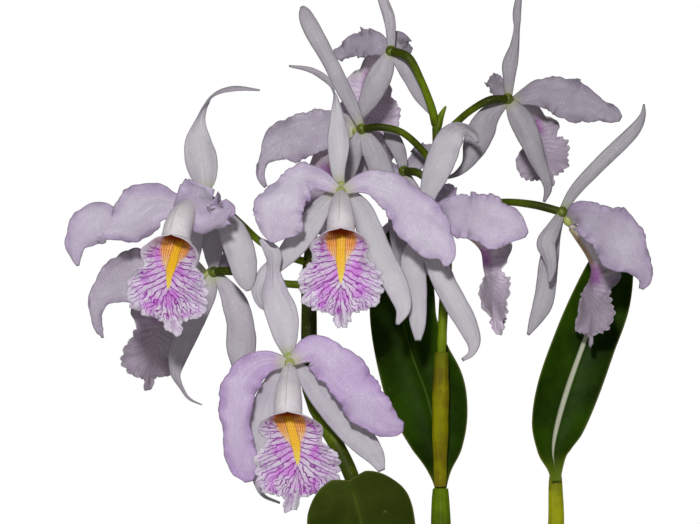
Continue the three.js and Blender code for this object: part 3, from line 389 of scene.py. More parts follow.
LEFT_STEM = [
    (373, 642, -58, 4.6), (371, 600, -48, 5), (367, 540, -22, 6), (352, 478, 8, 7.6),
    (336, 444, 20, 8), (321, 417, 28, 8), (309, 384, 35, 8), (309, 345, 41, 8),
    (309, 300, 44, 7.2), (308, 262, 42, 5), (314, 232, 34, 4.4), (324, 209, 24, 4.2),
]
LEFT_PEDICELS = {
    "a": [
        (322, 213, 26, 4.2), (331, 201, 15, 3.8), (336, 193, 8, 3.8), (341, 187, 0, 4),
    ],
    "b": [
        (306, 262, 42, 4), (284, 255, 42, 3.6), (262, 243, 38, 3.6), (240, 223, 30, 3.8),
        (217, 203, 20, 4), (203, 196, 4, 4),
    ],
    "c": [
        (307, 372, 35, 4.2), (302, 366, 20, 3.8), (294, 361, 2, 3.8), (289, 358, -14, 4),
    ],
    "d": [
        (306, 285, 44, 4), (280, 283, 48, 3.6), (250, 275, 50, 3.8), (230, 271, 50, 4.2),
        (214, 272, 60, 4.6),
    ],
}
SHEATH = [
    (440.5, 487, 70, 5.6), (440, 462, 69.5, 6.8), (440, 430, 69, 8), (440.5, 395, 68.5, 8.2),
    (441, 370, 68, 7.4), (441.5, 352, 68, 6.4),
]
BULBS = {
    "middle": [
        (440.5, 488.6, 70.5, 7.4), (440.5, 500, 71, 8.6), (441, 530, 70, 9.8), (443, 600, 66, 10),
        (447, 660, 60, 9), (450, 715, 52, 7.5), (451, 760, 48, 7.5),
    ],
    "right": [
        (555.5, 475, 30, 5.8), (555.5, 486, 30, 6.8), (556, 524, 30, 7.8), (551, 600, 26, 8.4),
        (540, 660, 18, 8), (526, 715, 8, 7), (518, 760, 4, 7),
    ],
    "front": [
        (373, 643.5, -59, 9.5), (373, 655, -58, 10.5), (375, 685, -54, 10.5), (380, 715, -48, 8.5),
        (385, 760, -42, 8),
    ],
}

# Leaves as (cup, ruffle, stations, (how far the corners and the midrib are drawn back)), with
# stations as for the tepals.
LEAVES = {
    "middle": (30, 0.4, [
        (440.5, 499, 81, 5), (440.5, 485, 81.5, 7), (439.5, 470, 82, 13), (438, 449, 84, 26),
        (433, 420, 88, 37), (425, 390, 93, 42), (413, 358, 97, 38.5), (404, 325, 100, 35),
        (402, 295, 102, 34), (402, 265, 104, 31), (402, 240, 106, 21), (404, 222, 108, 4),
    ], (0, 0)),
    "right": (35, 0.4, [
        (556, 482, 21.5, 4.6), (555, 469, 25, 8.5), (553, 452, 31, 17.5), (556, 430, 38, 27.5),
        (566.5, 392, 49, 33), (584.5, 341, 60, 33), (599.5, 303, 66, 31.5), (611, 266, 72, 24),
        (619, 240, 75, 13), (622, 226, 76, 3),
    ], (0, 0)),
    "front": (30, 0.4, [
        (372, 643.7, -66, 6), (371, 620, -72, 22), (368, 590, -81, 42), (365, 560, -90, 52),
        (363, 532, -98, 55), (357, 506, -107, 56), (348, 474, -116, 52),
    ], (25, 7)),
}


def unit(vectors):
    """Each vector divided by its own length."""
    return vectors / np.maximum(np.linalg.norm(vectors, axis=-1, keepdims=True), 1e-12)


def ease(value, low, high):
    """0 below low, 1 above high, and a smooth S-shaped cubic between."""
    t = np.clip((value - low) / (high - low), 0, 1)
    return t * t * (3 - 2 * t)


def bump(value, centre, width):
    """A bell: 1 at the centre, dying away over the width."""
    return np.exp(-(((value - centre) / width) ** 2))


def place(stations):
    """Stations on the drawing as [x, y, z, width, roll] in metres.

    Far is 1 plus the depth over the eye's distance, and every length on the drawing is scaled
    by it, about the point level with the eye.
    """
    rows = np.array([[*station, 0, 0][:5] for station in stations], float)
    far = 1 + rows[:, 2] * GRID / EYE
    out = np.zeros((len(rows), 5))
    out[:, 0] = (EYE_X - AXIS_X) * GRID + (rows[:, 0] - EYE_X) * GRID * far
    out[:, 1] = rows[:, 2] * GRID
    out[:, 2] = TOP_Z - EYE_Y * GRID - (rows[:, 1] - EYE_Y) * GRID * far
    out[:, 3] = rows[:, 3] * GRID * far
    out[:, 4] = rows[:, 4]
    return out


def summed(values):
    """The running sum of the values along their last axis, from 0."""
    return np.concatenate([np.zeros_like(values[..., :1]), np.cumsum(values, axis=-1)], axis=-1)


def walked(half_step, slope):
    """How far a path gets along and aside: the running sums of each half step times the sum
    of the cosines, and of the sines, of the slope at its two ends."""
    ways = np.cos(slope), np.sin(slope)
    return [summed(half_step * (way[..., 1:] + way[..., :-1])) for way in ways]


def rows_through(stations, at):
    """Rows on a smooth curve through the stations, at fractions of its length.

    Each stretch is the cubic through its two stations whose slopes are the chords between their
    neighbours, by straight distance.
    """
    line = np.asarray(stations, float)
    reach = summed(np.linalg.norm(np.diff(line[:, :3], axis=0), axis=1))
    ahead = np.minimum(np.arange(len(line)) + 1, len(line) - 1)
    behind = np.maximum(np.arange(len(line)) - 1, 0)
    slope = (line[ahead] - line[behind]) / (reach[ahead] - reach[behind])[:, None]
    s = np.asarray(at, float) * reach[-1]
    k = np.clip(np.searchsorted(reach, s, side="right") - 1, 0, len(line) - 2)
    span = (reach[k + 1] - reach[k])[:, None]
    a = (s - reach[k])[:, None] / span
    return (
        (2 * a**3 - 3 * a**2 + 1) * line[k]
        + (a**3 - 2 * a**2 + a) * span * slope[k]
        + (-2 * a**3 + 3 * a**2) * line[k + 1]
        + (a**3 - a**2) * span * slope[k + 1]
    )


def across_directions(tangent, roll):
    """Sideways and outwards of a blade: out is the front made square to the tangent, and both
    are turned about the tangent by the roll."""
    front = np.array([0.0, -1.0, 0.0])
    out = unit(front - tangent * (tangent @ front)[:, None])
    side = np.cross(tangent, out)
    c = np.cos(np.radians(roll))[:, None]
    s = np.sin(np.radians(roll))[:, None]
    return side * c - out * s, out * c + side * s


def crowded(count, share=0.45):
    """Numbers from -1 to 1 that stand closer together towards both ends: a mix of even steps
    and of the sine of even steps."""
    even = np.linspace(-1, 1, count + 1)
    return (1 - share) * even + share * np.sin(even * math.pi / 2)


def margin_wave(v, u, seed):
    """The slow wave of a margin: a sine along the blade, other on its other side, that dies
    away at both ends and towards the midrib."""
    grow = np.clip(v * 3, 0, 1) * np.clip((1 - v) * 3, 0, 1)
    slow = np.sin(2 * math.pi * (TEPAL_WAVES * v + 0.31 * seed + 0.37 * np.sign(u)))
    return slow * grow * np.abs(u) ** 2.5


def margin_crisp(v, u, seed):
    """The quick crimp of a margin: three sines of unlike and drifting pace, near the edge."""
    grow = np.clip(v * 4 - 0.4, 0, 1) * np.clip((1 - v) * 6, 0, 1)
    turn = 2 * math.pi
    drift = v + 0.03 * np.sin(turn * (2.2 * v + 0.37 * seed))
    quick = (
        0.6 * np.sin(turn * (5.3 * drift + 0.17 * seed + 0.21 * np.sign(u))) * np.abs(u) ** 4
        + 0.35 * np.sin(turn * (10.7 * drift + 0.43 * seed - 0.33 * np.sign(u))) * np.abs(u) ** 7
        + 0.2 * np.sin(turn * (21.1 * drift + 0.71 * seed + 0.11 * np.sign(u))) * np.abs(u) ** 12
    )
    return quick * grow


def margin_lobes(v, u, seed):
    """How far a margin stands out of or in from its even outline: rounded lobes, as the
    absolute value of a sine, over a slow sine, each side in its own rhythm."""
    grow = np.clip(v * 4 - 0.3, 0, 1) * np.clip((1 - v) * 7, 0, 1)
    turn = 2 * math.pi
    side = 0.29 * np.sign(u)
    drift = v + 0.035 * np.sin(turn * (1.7 * v + 0.23 * seed + side))
    lobes = np.abs(np.sin(math.pi * (5.6 * drift + 0.41 * seed + side))) - 0.6
    small = np.abs(np.sin(math.pi * (17.3 * drift + 0.77 * seed - side))) - 0.6
    slow = np.sin(turn * (2.1 * v + 0.53 * seed + side))
    return (0.5 * slow + 0.75 * lobes + 0.3 * small) * grow * u * u


def grid_normals(grid):
    """The direction square to a grid of points, from its slopes along and across."""
    return unit(np.cross(np.gradient(grid, axis=1), np.gradient(grid, axis=0)))


def blade(line, cup, ruffle, seed, rows, columns, crisp=0.0, crease=0.0, lobed=0.0):
    """The middle surface of a petal, sepal or leaf.

    A cross-section of half width w is carried along the midrib. At u from -1 to 1 it lies
    sin(c u) / c times w sideways and (1 - cos(c u)) / c times w outwards, where c is the cup,
    and its margins wave and stand out in lobes, as a share of w. The crease is the depth of the
    groove along the midrib.
    """
    v = np.linspace(0, 1, rows + 1)
    at = rows_through(line, v)
    tangent = unit(np.gradient(at[:, :3], axis=0))
    side, out = across_directions(tangent, at[:, 4])
    half = np.maximum(at[:, 3], MIN_HALF_WIDTH)[:, None]
    u = crowded(columns)[None, :]
    v = v[:, None]
    half = half * (1 + lobed * margin_lobes(v, u, seed))
    bow = math.radians(cup)
    sideways = np.sin(bow * u) / bow * half
    outwards = (1 - np.cos(bow * u)) / bow * half
    outwards = outwards + MM * ruffle * (margin_wave(v, u, seed) + crisp * margin_crisp(v, u, seed))
    outwards = outwards - crease * bump(u, 0, 0.1) * np.clip(8 * v, 0, 1) * np.clip(2 - 2 * v, 0, 1)
    grid = at[:, None, :3] + side[:, None] * sideways[..., None]
    grid = grid + out[:, None] * outwards[..., None]
    length = np.linalg.norm(np.diff(at[:, :3], axis=0), axis=1).sum()
    edge = np.minimum((1 - np.abs(u)) * half, (1 - v) * length)
    return grid, np.broadcast_to(v, edge.shape), np.broadcast_to(u, edge.shape), edge


def blunted(grid, v, u, corners, notch):
    """A leaf drawn back along its end: the corners by the cube of their distance from the
    midrib, the midrib by a straight-sided notch, both weighed by the square of the share of
    the last stretch that lies behind them."""
    middle = grid.shape[1] // 2
    end = unit(grid[-1, middle] - grid[-2, middle])
    share = np.clip((v - TIP_START) / (1 - TIP_START), 0, 1) ** 2
    short = corners * np.abs(u) ** 3 + notch * np.clip(1 - 3 * np.abs(u), 0, 1)
    return grid - end * (short * share * GRID)[..., None]


def sheet(grid, thickness, chart, front=1.0):
    """Points, faces and chart of a closed thin sheet from its middle surface.

    Both faces stand half the thickness off the middle, and draw together to one shared edge:
    the half thickness is scaled by the square root of the distance to the edge over its taper.
    The chart's third value is 0 on the inner face and 1 on the reverse.
    """
    rows, columns = grid.shape[0] - 1, grid.shape[1] - 1
    taper = np.sqrt(np.clip(chart["edge"] / (1.2 * thickness), 0, 1))
    taper[0], taper[-1], taper[:, 0], taper[:, -1] = 0, 0, 0, 0
    offset = grid_normals(grid) * (thickness / 2 * taper)[..., None]
    count = (rows + 1) * (columns + 1)
    upper = np.arange(count).reshape(rows + 1, columns + 1)
    lower = upper.copy()
    lower[1:-1, 1:-1] = count + np.arange((rows - 1) * (columns - 1)).reshape(rows - 1, columns - 1)
    points = np.vstack([(grid + offset).reshape(-1, 3), (grid - offset)[1:-1, 1:-1].reshape(-1, 3)])

    def quads(index, flip):
        corners = [index[:-1, :-1], index[:-1, 1:], index[1:, 1:], index[1:, :-1]]
        if flip:
            corners = corners[::-1]
        return np.stack([c.ravel() for c in corners], 1)

    def both(values):
        return np.concatenate([values.ravel(), values[1:-1, 1:-1].ravel()])

    inner = np.full((rows + 1, columns + 1), 0.0 if front > 0 else 1.0)
    inner[0], inner[-1], inner[:, 0], inner[:, -1] = 0.5, 0.5, 0.5, 0.5
    reverse = np.concatenate([inner.ravel(), 1 - inner[1:-1, 1:-1].ravel()])
    return {
        "points": points,
        "faces": np.vstack([quads(upper, False), quads(lower, True)]),
        "chart": np.stack([both(chart["along"]), both(chart["across"]), reverse], 1),
        "finish": np.stack([both(chart["edge"]), both(chart["tint"]), both(chart["other"])], 1),
    }


def rings(centres, side, out, across, deep, sides, bumps=None):
    """Points on a tube: round each centre, the cosine of the turn times its width sideways and
    the sine times its depth outwards. Bumps scale each point's distance."""
    turn = (2 * math.pi * np.arange(sides) / sides)[None, :, None]
    swell = 1.0 if bumps is None else bumps[..., None]
    spread = np.cos(turn) * side[:, None] * across[:, None, None]
    spread = spread + np.sin(turn) * out[:, None] * deep[:, None, None]
    return centres[:, None] + spread * swell


def capped(ring_points, along, finish=None):
    """A closed skin over rings of points, with a single point at the middle of each end."""
    count, sides = ring_points.shape[:2]
    points = np.vstack([
        ring_points.reshape(-1, 3), ring_points[0].mean(0)[None], ring_points[-1].mean(0)[None]])
    index = np.arange(count * sides).reshape(count, sides)
    ahead = np.roll(index, -1, axis=1)
    walls = np.stack([index[:-1], ahead[:-1], ahead[1:], index[1:]], -1).reshape(-1, 4)
    first = np.full(sides, count * sides)
    start = np.stack([ahead[0], index[0], first, first], 1)
    end = np.stack([index[-1], ahead[-1], first + 1, first + 1], 1)
    chart = np.zeros((len(points), 3))
    chart[:-2, 0] = np.broadcast_to(along, (count, sides)).ravel()
    chart[-2, 0], chart[-1, 0] = chart[0, 0], chart[-3, 0]
    extra = np.zeros((len(points), 3))
    if finish is not None:
        extra[:] = finish
    return {"points": points, "faces": np.vstack([walls, start, end]), "chart": chart,
            "finish": extra}


def tube(line, rows, sides, flatten=1.0, shape=None, rounded=0.0, finish=None):
    """A bar of round or flattened section along a line of stations.

    Shape is a function of the fraction along and of the turn that scales the radius. Rounded is
    the share of the length over which each end draws in, as the square root of one minus a
    square.
    """
    v = np.linspace(0, 1, rows + 1)
    if rounded:
        v = 0.5 + 0.5 * crowded(rows, 0.85)
    at = rows_through(line, v)
    tangent = unit(np.gradient(at[:, :3], axis=0))
    side, out = across_directions(tangent, np.zeros(len(at)))
    draw = np.ones(len(v))
    if rounded:
        near = np.clip(np.minimum(v, 1 - v) / rounded, 0, 1)
        draw = np.maximum(np.sqrt(1 - (1 - near) ** 2), 0.04)
    radius = at[:, 3] * draw
    turn = 2 * math.pi * np.arange(sides) / sides
    bumps = None if shape is None else shape(v[:, None], turn[None, :])
    points = rings(at[:, :3], side, out, radius, radius * flatten, sides, bumps)
    return capped(points, v[:, None], finish)


def turned(profile, sides):
    """Rings about the upright axis through a profile of radius and height."""
    turn = 2 * math.pi * np.arange(sides) / sides
    radius, height = np.asarray(profile, float).T[..., None]
    level = np.broadcast_to(height, (len(radius), sides))
    points = np.stack([radius * np.cos(turn), radius * np.sin(turn), level], -1)
    return capped(points, 0.0)


def facing(yaw, pitch):
    """The direction a bloom faces: yaw turns from the front to the right, pitch leans it down."""
    yaw, pitch = math.radians(yaw), math.radians(pitch)
    return np.array([
        math.sin(yaw) * math.cos(pitch), -math.cos(yaw) * math.cos(pitch), -math.sin(pitch)])


def plain_mesh(name, points, faces):
    """A mesh from points and faces of four corners, of which some repeat their third."""
    corners = [face[:3] if face[2] == face[3] else face for face in faces.tolist()]
    mesh = bpy.data.meshes.new(name)
    mesh.from_pydata(points.tolist(), [], corners)
    return mesh


def add_object(name, data):
    """A new object in the scene."""
    thing = bpy.data.objects.new(name, data)
    bpy.context.scene.collection.objects.link(thing)
    return thing


def make_piece(name, parts, materials):
    """One mesh object from parts, each with its points, faces, chart and material number."""
    starts = np.cumsum([0] + [len(part["points"]) for part in parts])
    faces = np.vstack([part["faces"] + start for part, start in zip(parts, starts)])
    mesh = plain_mesh(name, np.vstack([part["points"] for part in parts]), faces)
    kinds = [np.full(len(part["faces"]), part.get("material", 0)) for part in parts]
    mesh.polygons.foreach_set("material_index", np.concatenate(kinds).astype(np.int32))
    mesh.polygons.foreach_set("use_smooth", np.ones(len(faces), bool))
    for label in ("chart", "finish"):
        values = np.vstack([part[label] for part in parts])
        layer = mesh.attributes.new(label, "FLOAT_VECTOR", "POINT")
        layer.data.foreach_set("vector", values.astype(np.float32).ravel())
    for material in materials:
        mesh.materials.append(material)
    mesh.update()
    if mesh.validate():
        raise RuntimeError(f"{name} has faces that do not hold together")
    piece = add_object(name, mesh)
    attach(piece, BODY)
    return piece


def outward(part):
    """The part with its faces turned so that its volume is positive."""
    a, b, c, d = (part["points"][part["faces"][:, k]] for k in range(4))
    volume = np.einsum("ij,ij->i", a, np.cross(b, c) + np.cross(c, d)).sum()
    if volume < 0:
        part["faces"] = part["faces"][:, ::-1].copy()
        short = part["faces"][:, 0] == part["faces"][:, 1]
        part["faces"][short] = np.roll(part["faces"][short], -2, axis=1)
    return part


def linear(red, green, blue):
    """A colour given as screen values from 0 to 255, as the linear one a shader takes."""
    values = np.array([red, green, blue]) / 255
    low = values / 12.92
    high = ((values + 0.055) / 1.055) ** 2.4
    return tuple(float(v) for v in np.where(values <= 0.04045, low, high))


WHITE = (1.0, 1.0, 1.0)


class Paint:
    """The nodes of one material, with the colour and the normal that its coats have made so
    far. Most methods add a node and return what comes out of it."""

    def __init__(self, name):
        self.material = bpy.data.materials.new(name)
        self.material.use_nodes = True
        self.tree = self.material.node_tree
        self.tree.nodes.clear()
        self.colour = None
        self.normal = None
        self.place = self.node("ShaderNodeTexCoord").outputs["Object"]

    def put(self, socket, value):
        """Sets a socket to a number or colour, or links what another node gives."""
        if isinstance(value, bpy.types.NodeSocket):
            self.tree.links.new(value, socket)
        elif isinstance(value, tuple) and len(value) == 3 and len(socket.default_value) == 4:
            socket.default_value = (*value, 1.0)
        else:
            socket.default_value = value

    def node(self, kind, inputs=(), **settings):
        """Any node, with its settings and then its inputs by name or number."""
        node = self.tree.nodes.new(kind)
        for key, value in settings.items():
            setattr(node, key, value)
        for key, value in dict(inputs).items():
            self.put(node.inputs[key], value)
        return node

    def math(self, operation, *values):
        """One operation on one, two or three numbers."""
        return self.node("ShaderNodeMath", enumerate(values), operation=operation).outputs[0]

    def times(self, *values):
        """The product of all the values."""
        result = values[0]
        for value in values[1:]:
            result = self.math("MULTIPLY", result, value)
        return result

    def plus(self, *values):
        """The sum of all the values."""
        result = values[0]
        for value in values[1:]:
            result = self.math("ADD", result, value)
        return result

    def ease(self, value, low, high, top=1.0):
        """0 at low, top at high and an S-shaped curve between; low may be the larger."""
        return self.node(
            "ShaderNodeMapRange", {0: value, 1: low, 2: high, 3: 0.0, 4: top},
            interpolation_type="SMOOTHSTEP").outputs[0]

    def span(self, value, low, high, start=0.0, end=1.0):
        """A straight line from start at low to end at high, held beyond them."""
        return self.node(
            "ShaderNodeMapRange", {0: value, 1: low, 2: high, 3: start, 4: end}).outputs[0]

    def mix(self, share, first, second, blend="MIX"):
        """Two colours mixed by a share."""
        inputs = {0: share, 6: first, 7: second}
        return self.node("ShaderNodeMix", inputs, data_type="RGBA", blend_type=blend).outputs[2]

    def lay(self, colour, *shares, blend="MIX"):
        """A coat of a colour over what is there, as thick as the product of its shares."""
        share = self.times(*shares) if shares else 1.0
        self.colour = self.mix(share, self.colour, colour, blend)

    def scaled(self, x, y, z):
        """The object's own coordinates stretched along their three axes."""
        inputs = {0: self.place, 1: (x, y, z)}
        return self.node("ShaderNodeVectorMath", inputs, operation="MULTIPLY").outputs[0]

    def vector(self, x, y, z=0.0):
        """A vector from three numbers."""
        return self.node("ShaderNodeCombineXYZ", {0: x, 1: y, 2: z}).outputs[0]

    def attribute(self, name):
        """The three numbers of one of the mesh's own attributes."""
        vector = self.node("ShaderNodeAttribute", attribute_name=name).outputs["Vector"]
        return self.node("ShaderNodeSeparateXYZ", {0: vector}).outputs[:3]

    def noise(self, scale, detail=2.0, roughness=0.5, distortion=0.0, at=None):
        """Cloudy noise from 0 to 1, on the object's own coordinates unless told otherwise."""
        return self.node("ShaderNodeTexNoise", {
            "Vector": self.place if at is None else at, "Scale": scale, "Detail": detail,
            "Roughness": roughness, "Distortion": distortion}).outputs[0]

    def sway(self, scale, detail, roughness=0.5):
        """Cloudy noise from -0.5 to 0.5."""
        return self.math("SUBTRACT", self.noise(scale, detail, roughness), 0.5)

    def cells(self, scale, feature="F1", randomness=1.0, at=None):
        """A pattern of cells: the distance to their middles or to their edges."""
        inputs = {"Vector": self.place if at is None else at, "Scale": scale,
                  "Randomness": randomness}
        return self.node("ShaderNodeTexVoronoi", inputs, feature=feature).outputs["Distance"]

    def line(self, value, pitch, width, soft):
        """Lines where the value is a whole number of pitches: 1 on the line, 0 beyond its
        half width, both in the value's own unit."""
        away = self.math("PINGPONG", value, pitch / 2)
        return self.ease(away, width, self.times(width, soft))

    def bump(self, height, distance, strength):
        """Bends the normal further by a height in the given distance in metres."""
        inputs = {"Height": height, "Distance": distance, "Strength": strength}
        if self.normal is not None:
            inputs["Normal"] = self.normal
        self.normal = self.node("ShaderNodeBump", inputs).outputs[0]

    def finish(self, pattern, first, last, low=0.3, high=0.7, **numbers):
        """The surface shader. Its roughness runs from first to last as the pattern goes from
        low to high, and its fixed numbers are set on its own sockets."""
        inputs = {"Base Color": self.colour,
                  "Roughness": self.span(pattern, low, high, first, last)}
        if self.normal is not None:
            inputs["Normal"] = self.normal
        inputs.update({key.replace("_", " "): value for key, value in numbers.items()})
        shader = self.node("ShaderNodeBsdfPrincipled", inputs)
        self.node("ShaderNodeOutputMaterial", {"Surface": shader.outputs[0]})
        return self.material


def tepal_paint(name, pale, deep, back, root, depth):
    """A petal's or sepal's skin: pale lilac that deepens in clouds and by the bloom's own tint,
    and at the margins as painted shade, fine veins and soft pleats fanned from the root with
    painted shade in their troughs, light flecks of painted glint, a greyer reverse and a thin
    dark rim of painted shade, all of it darkened by the bloom's painted shade."""
    paint = Paint(name)
    along, across, reverse = paint.attribute("chart")
    edge, tint, shade = paint.attribute("finish")
    clouds = paint.noise(45.0, 3.0, 0.55)
    # Deeper towards the margins: painted shade where the blades curve away.
    share = paint.plus(paint.ease(clouds, 0.35, 0.75, 0.3), paint.ease(edge, 0.006, 0.0, 0.3),
                       paint.times(tint, depth))
    paint.colour = paint.mix(paint.math("MINIMUM", share, 1.0), pale, deep)
    wander = paint.sway(70.0, 3.0)
    fan = paint.plus(paint.times(across, 9.0), paint.times(wander, 2.2))
    veins = paint.times(paint.line(fan, 1.0, 0.22, 0.2), paint.ease(along, 0.04, 0.25),
                        paint.ease(clouds, 0.3, 0.6, 0.07))
    paint.lay(deep, veins, blend="MULTIPLY")
    paint.lay(back, reverse, 0.75)
    paint.lay(root, paint.ease(along, 0.13, 0.0, 0.85))
    grain_and_glint = paint.noise(1500.0, 2.0, 0.6)
    # Light flecks of painted glint on the granular surface; the darker flecks below are its
    # texture.
    paint.lay(WHITE, paint.ease(grain_and_glint, 0.56, 0.72, 1.5 * depth), blend="SOFT_LIGHT")
    paint.lay(deep, paint.ease(grain_and_glint, 0.46, 0.3, 0.4 * depth), blend="MULTIPLY")
    fleck = paint.math("GREATER_THAN", paint.noise(190.0, 1.0), 0.79)
    paint.lay(linear(150, 110, 110), fleck, 0.25)
    pleat = paint.plus(paint.times(across, 2.2), paint.times(wander, 1.2))
    folds_and_shade = paint.noise(1.0, 2.0, 0.55, at=paint.vector(
        pleat, paint.times(along, 2.6), paint.times(clouds, 1.5)))
    # Painted shade in the troughs of the soft pleats.
    paint.lay(deep, paint.ease(folds_and_shade, 0.55, 0.33, 0.17), blend="MULTIPLY")
    # A thin dark rim of painted shade along the margins.
    paint.lay(linear(112, 98, 116), paint.ease(edge, 0.0011, 0.0002, 0.42))
    paint.lay(shade, blend="MULTIPLY")
    paint.bump(folds_and_shade, 0.0025, 0.3)
    paint.bump(paint.noise(55.0, 2.0, 0.4), 0.005, 0.6)
    paint.bump(paint.noise(260.0, 3.0), 0.0005, 0.4)
    paint.bump(grain_and_glint, 0.00009, 0.4)
    paint.bump(veins, -0.0004, 0.2)
    return paint.finish(grain_and_glint, 0.62, 0.42, Sheen_Weight=0.18, Sheen_Roughness=0.45,
                        Specular_IOR_Level=0.35)


def lip_veins(paint, vein, spread, off, near, fine):
    """The lip's veins, 1 on a vein and 0 off it.

    Each vein keeps one value of the vein count. Where the veins have spread, each parts into
    two that drift a quarter of the pitch apart, and further out each of those parts again.
    """
    pitch = 2.5
    count = paint.plus(vein, 200 * pitch, paint.times(near, 2.4), paint.times(fine, 0.9))
    first = paint.plus(1.3, paint.times(near, 1.6))
    second = paint.plus(2.3, paint.times(near, -2.0))
    part = paint.ease(spread, first, paint.plus(first, 0.55), pitch / 4)
    again = paint.ease(spread, second, paint.plus(second, 0.9), pitch / 8)
    width = paint.math("DIVIDE", paint.span(off, 2.0, 22.0, 0.56, 0.38), spread)
    net = paint.vector(paint.times(count, 0.24), paint.times(off, 0.12))
    links = paint.cells(1.0, "DISTANCE_TO_EDGE", 0.9, at=net)
    lines = paint.ease(links, 0.045, 0.01, 0.45)
    for way in (1, -1):
        for turn in (1, -1):
            shifted = paint.plus(count, paint.times(part, way), paint.times(again, turn))
            lines = paint.math("MAXIMUM", lines, paint.line(shifted, pitch, width, 0.3))
    return lines


def lip_inside(paint, settings, along, across, edge, off, veins, near, fine):
    """The lip's face: a golden stripe out of an orange throat with brown lines, a limb flushed
    with magenta between its veins, and a frilled margin that is nearly white."""
    limb = paint.ease(along, 35.0, 40.0)
    white = paint.mix(paint.ease(near, -0.1, 0.25), linear(230, 222, 234), linear(214, 198, 222))
    cloud = paint.plus(0.08, paint.ease(paint.noise(110.0, 3.0, 0.6), 0.4, 0.64, 0.8))
    flush = paint.times(paint.ease(edge, 0.0022, 0.0085), paint.ease(off, 22.0, 12.0), cloud, limb)
    paint.colour = paint.mix(flush, white, settings.ground_colour[:])
    tone = paint.mix(paint.ease(off, 5.0, 19.0), settings.vein_colour[:], linear(158, 44, 178))
    end_lobe = paint.span(paint.ease(along, 84.0, 79.0), 0.0, 1.0, 0.45, 1.0)
    paint.lay(tone, veins, paint.ease(edge, 0.0004, 0.0040), limb, end_lobe, 0.95)

    half = paint.times(2.8, paint.math("POWER", paint.span(along, 65.0, 52.0), 0.7))
    wobble = paint.plus(off, paint.times(fine, 1.1), paint.times(near, 0.8))
    past = paint.math("SUBTRACT", wobble, half)
    stripe = paint.times(paint.ease(past, 0.35, -0.35), paint.ease(along, 66.0, 62.0))
    fan_half = paint.plus(paint.span(along, 38.0, 57.0, 13.0, 1.5), paint.times(near, 4.0))
    fan = paint.times(paint.ease(off, fan_half, paint.math("SUBTRACT", fan_half, 3.5)),
                      paint.ease(along, 57.0, 49.0))
    rays = paint.math("DIVIDE", across, paint.span(along, 30.0, 56.0, 1.5, 0.6))
    rays = paint.plus(rays, 60.0, paint.times(fine, 0.5), paint.times(near, 0.6))
    brown = paint.times(paint.line(rays, 1.3, 0.2, 0.3), paint.ease(along, 56.0, 44.0))
    amber = paint.mix(paint.ease(along, 40.0, 51.0), linear(250, 170, 56), linear(255, 214, 138))
    paint.lay(amber, fan, 0.92)
    paint.lay(linear(150, 58, 30), fan, brown, 0.85)
    gold = paint.mix(paint.ease(along, 50.0, 64.0), settings.stripe_colour[:], linear(244, 222, 84))
    paint.lay(gold, stripe)
    paint.lay(linear(150, 62, 14), stripe, brown, paint.ease(along, 50.0, 38.0, 0.7))
    paint.lay(linear(150, 70, 30), paint.ease(paint.math("ABSOLUTE", past), 0.5, 0.1),
              paint.ease(along, 62.0, 50.0, 0.55))
    throat = paint.mix(paint.ease(along, 12.0, 34.0), linear(226, 168, 40), linear(178, 66, 18))
    paint.lay(throat, paint.ease(along, 37.5, 33.5, 0.94))
    return paint.colour


def lip_outside(paint, along, edge, off, veins, near):
    """The lip's reverse: a white tube with rose veins on its flanks and a golden keel, and a
    limb through which the face's magenta shows faintly."""
    limb = paint.ease(along, 36.0, 42.0)
    paint.colour = paint.mix(
        paint.ease(near, -0.2, 0.3), linear(243, 236, 238), linear(230, 220, 228))
    paint.lay(linear(216, 198, 222), limb, 0.75)
    slant = paint.plus(along, paint.times(off, 0.55), paint.times(near, 4.0), 300.0)
    paint.lay(linear(160, 84, 110), paint.line(slant, 2.1, 0.42, 0.3),
              paint.ease(along, 14.0, 22.0), paint.ease(along, 40.0, 35.0),
              paint.ease(off, 17.0, 12.0), paint.ease(off, 4.0, 9.0, 0.6))
    paint.lay(linear(206, 160, 84), paint.ease(off, 5.0, 1.5), paint.ease(along, 38.0, 28.0, 0.8))
    paint.lay(linear(176, 74, 184), paint.ease(off, 12.0, 4.0), paint.ease(along, 26.0, 36.0),
              paint.ease(along, 50.0, 42.0, 0.75))
    paint.lay(linear(176, 110, 184), veins, limb, paint.ease(edge, 0.001, 0.006, 0.3))
    paint.lay(linear(214, 216, 170), paint.ease(along, 9.0, 0.0, 0.7))
    return paint.colour


def lip_paint(name, settings, shade):
    """The lip's skin, painted on its own chart of millimetres from its base and its midrib, with a
    thin dark rim of painted shade round the limb and light flecks of painted glint, and darkened
    by its painted shade."""
    paint = Paint(name)
    along, across, reverse = paint.attribute("chart")
    edge, spread, vein = paint.attribute("finish")
    off = paint.math("ABSOLUTE", across)
    near = paint.sway(95.0, 2.0, 0.6)
    fine = paint.sway(380.0, 2.0, 0.6)
    veins = lip_veins(paint, vein, spread, off, near, fine)
    face = lip_inside(paint, settings, along, across, edge, off, veins, near, fine)
    paint.colour = paint.mix(reverse, face, lip_outside(paint, along, edge, off, veins, near))
    # A thin dark rim of painted shade round the limb's margin.
    paint.lay(linear(120, 92, 116), paint.ease(edge, 0.0007, 0.0001),
              paint.ease(along, 36.0, 40.0, 0.35))
    paint.lay((shade, shade, shade), blend="MULTIPLY")
    grain_and_glint = paint.noise(1400.0, 2.0, 0.6)
    # Light flecks of painted glint.
    paint.lay(WHITE, paint.ease(grain_and_glint, 0.6, 0.8), blend="SOFT_LIGHT")
    paint.bump(paint.noise(300.0, 3.0), 0.0006, 0.4)
    paint.bump(veins, -0.0003, 0.5)
    paint.bump(grain_and_glint, 0.0001, 0.5)
    return paint.finish(grain_and_glint, 0.55, 0.4, Sheen_Weight=0.1, Sheen_Roughness=0.4,
                        Specular_IOR_Level=0.35)


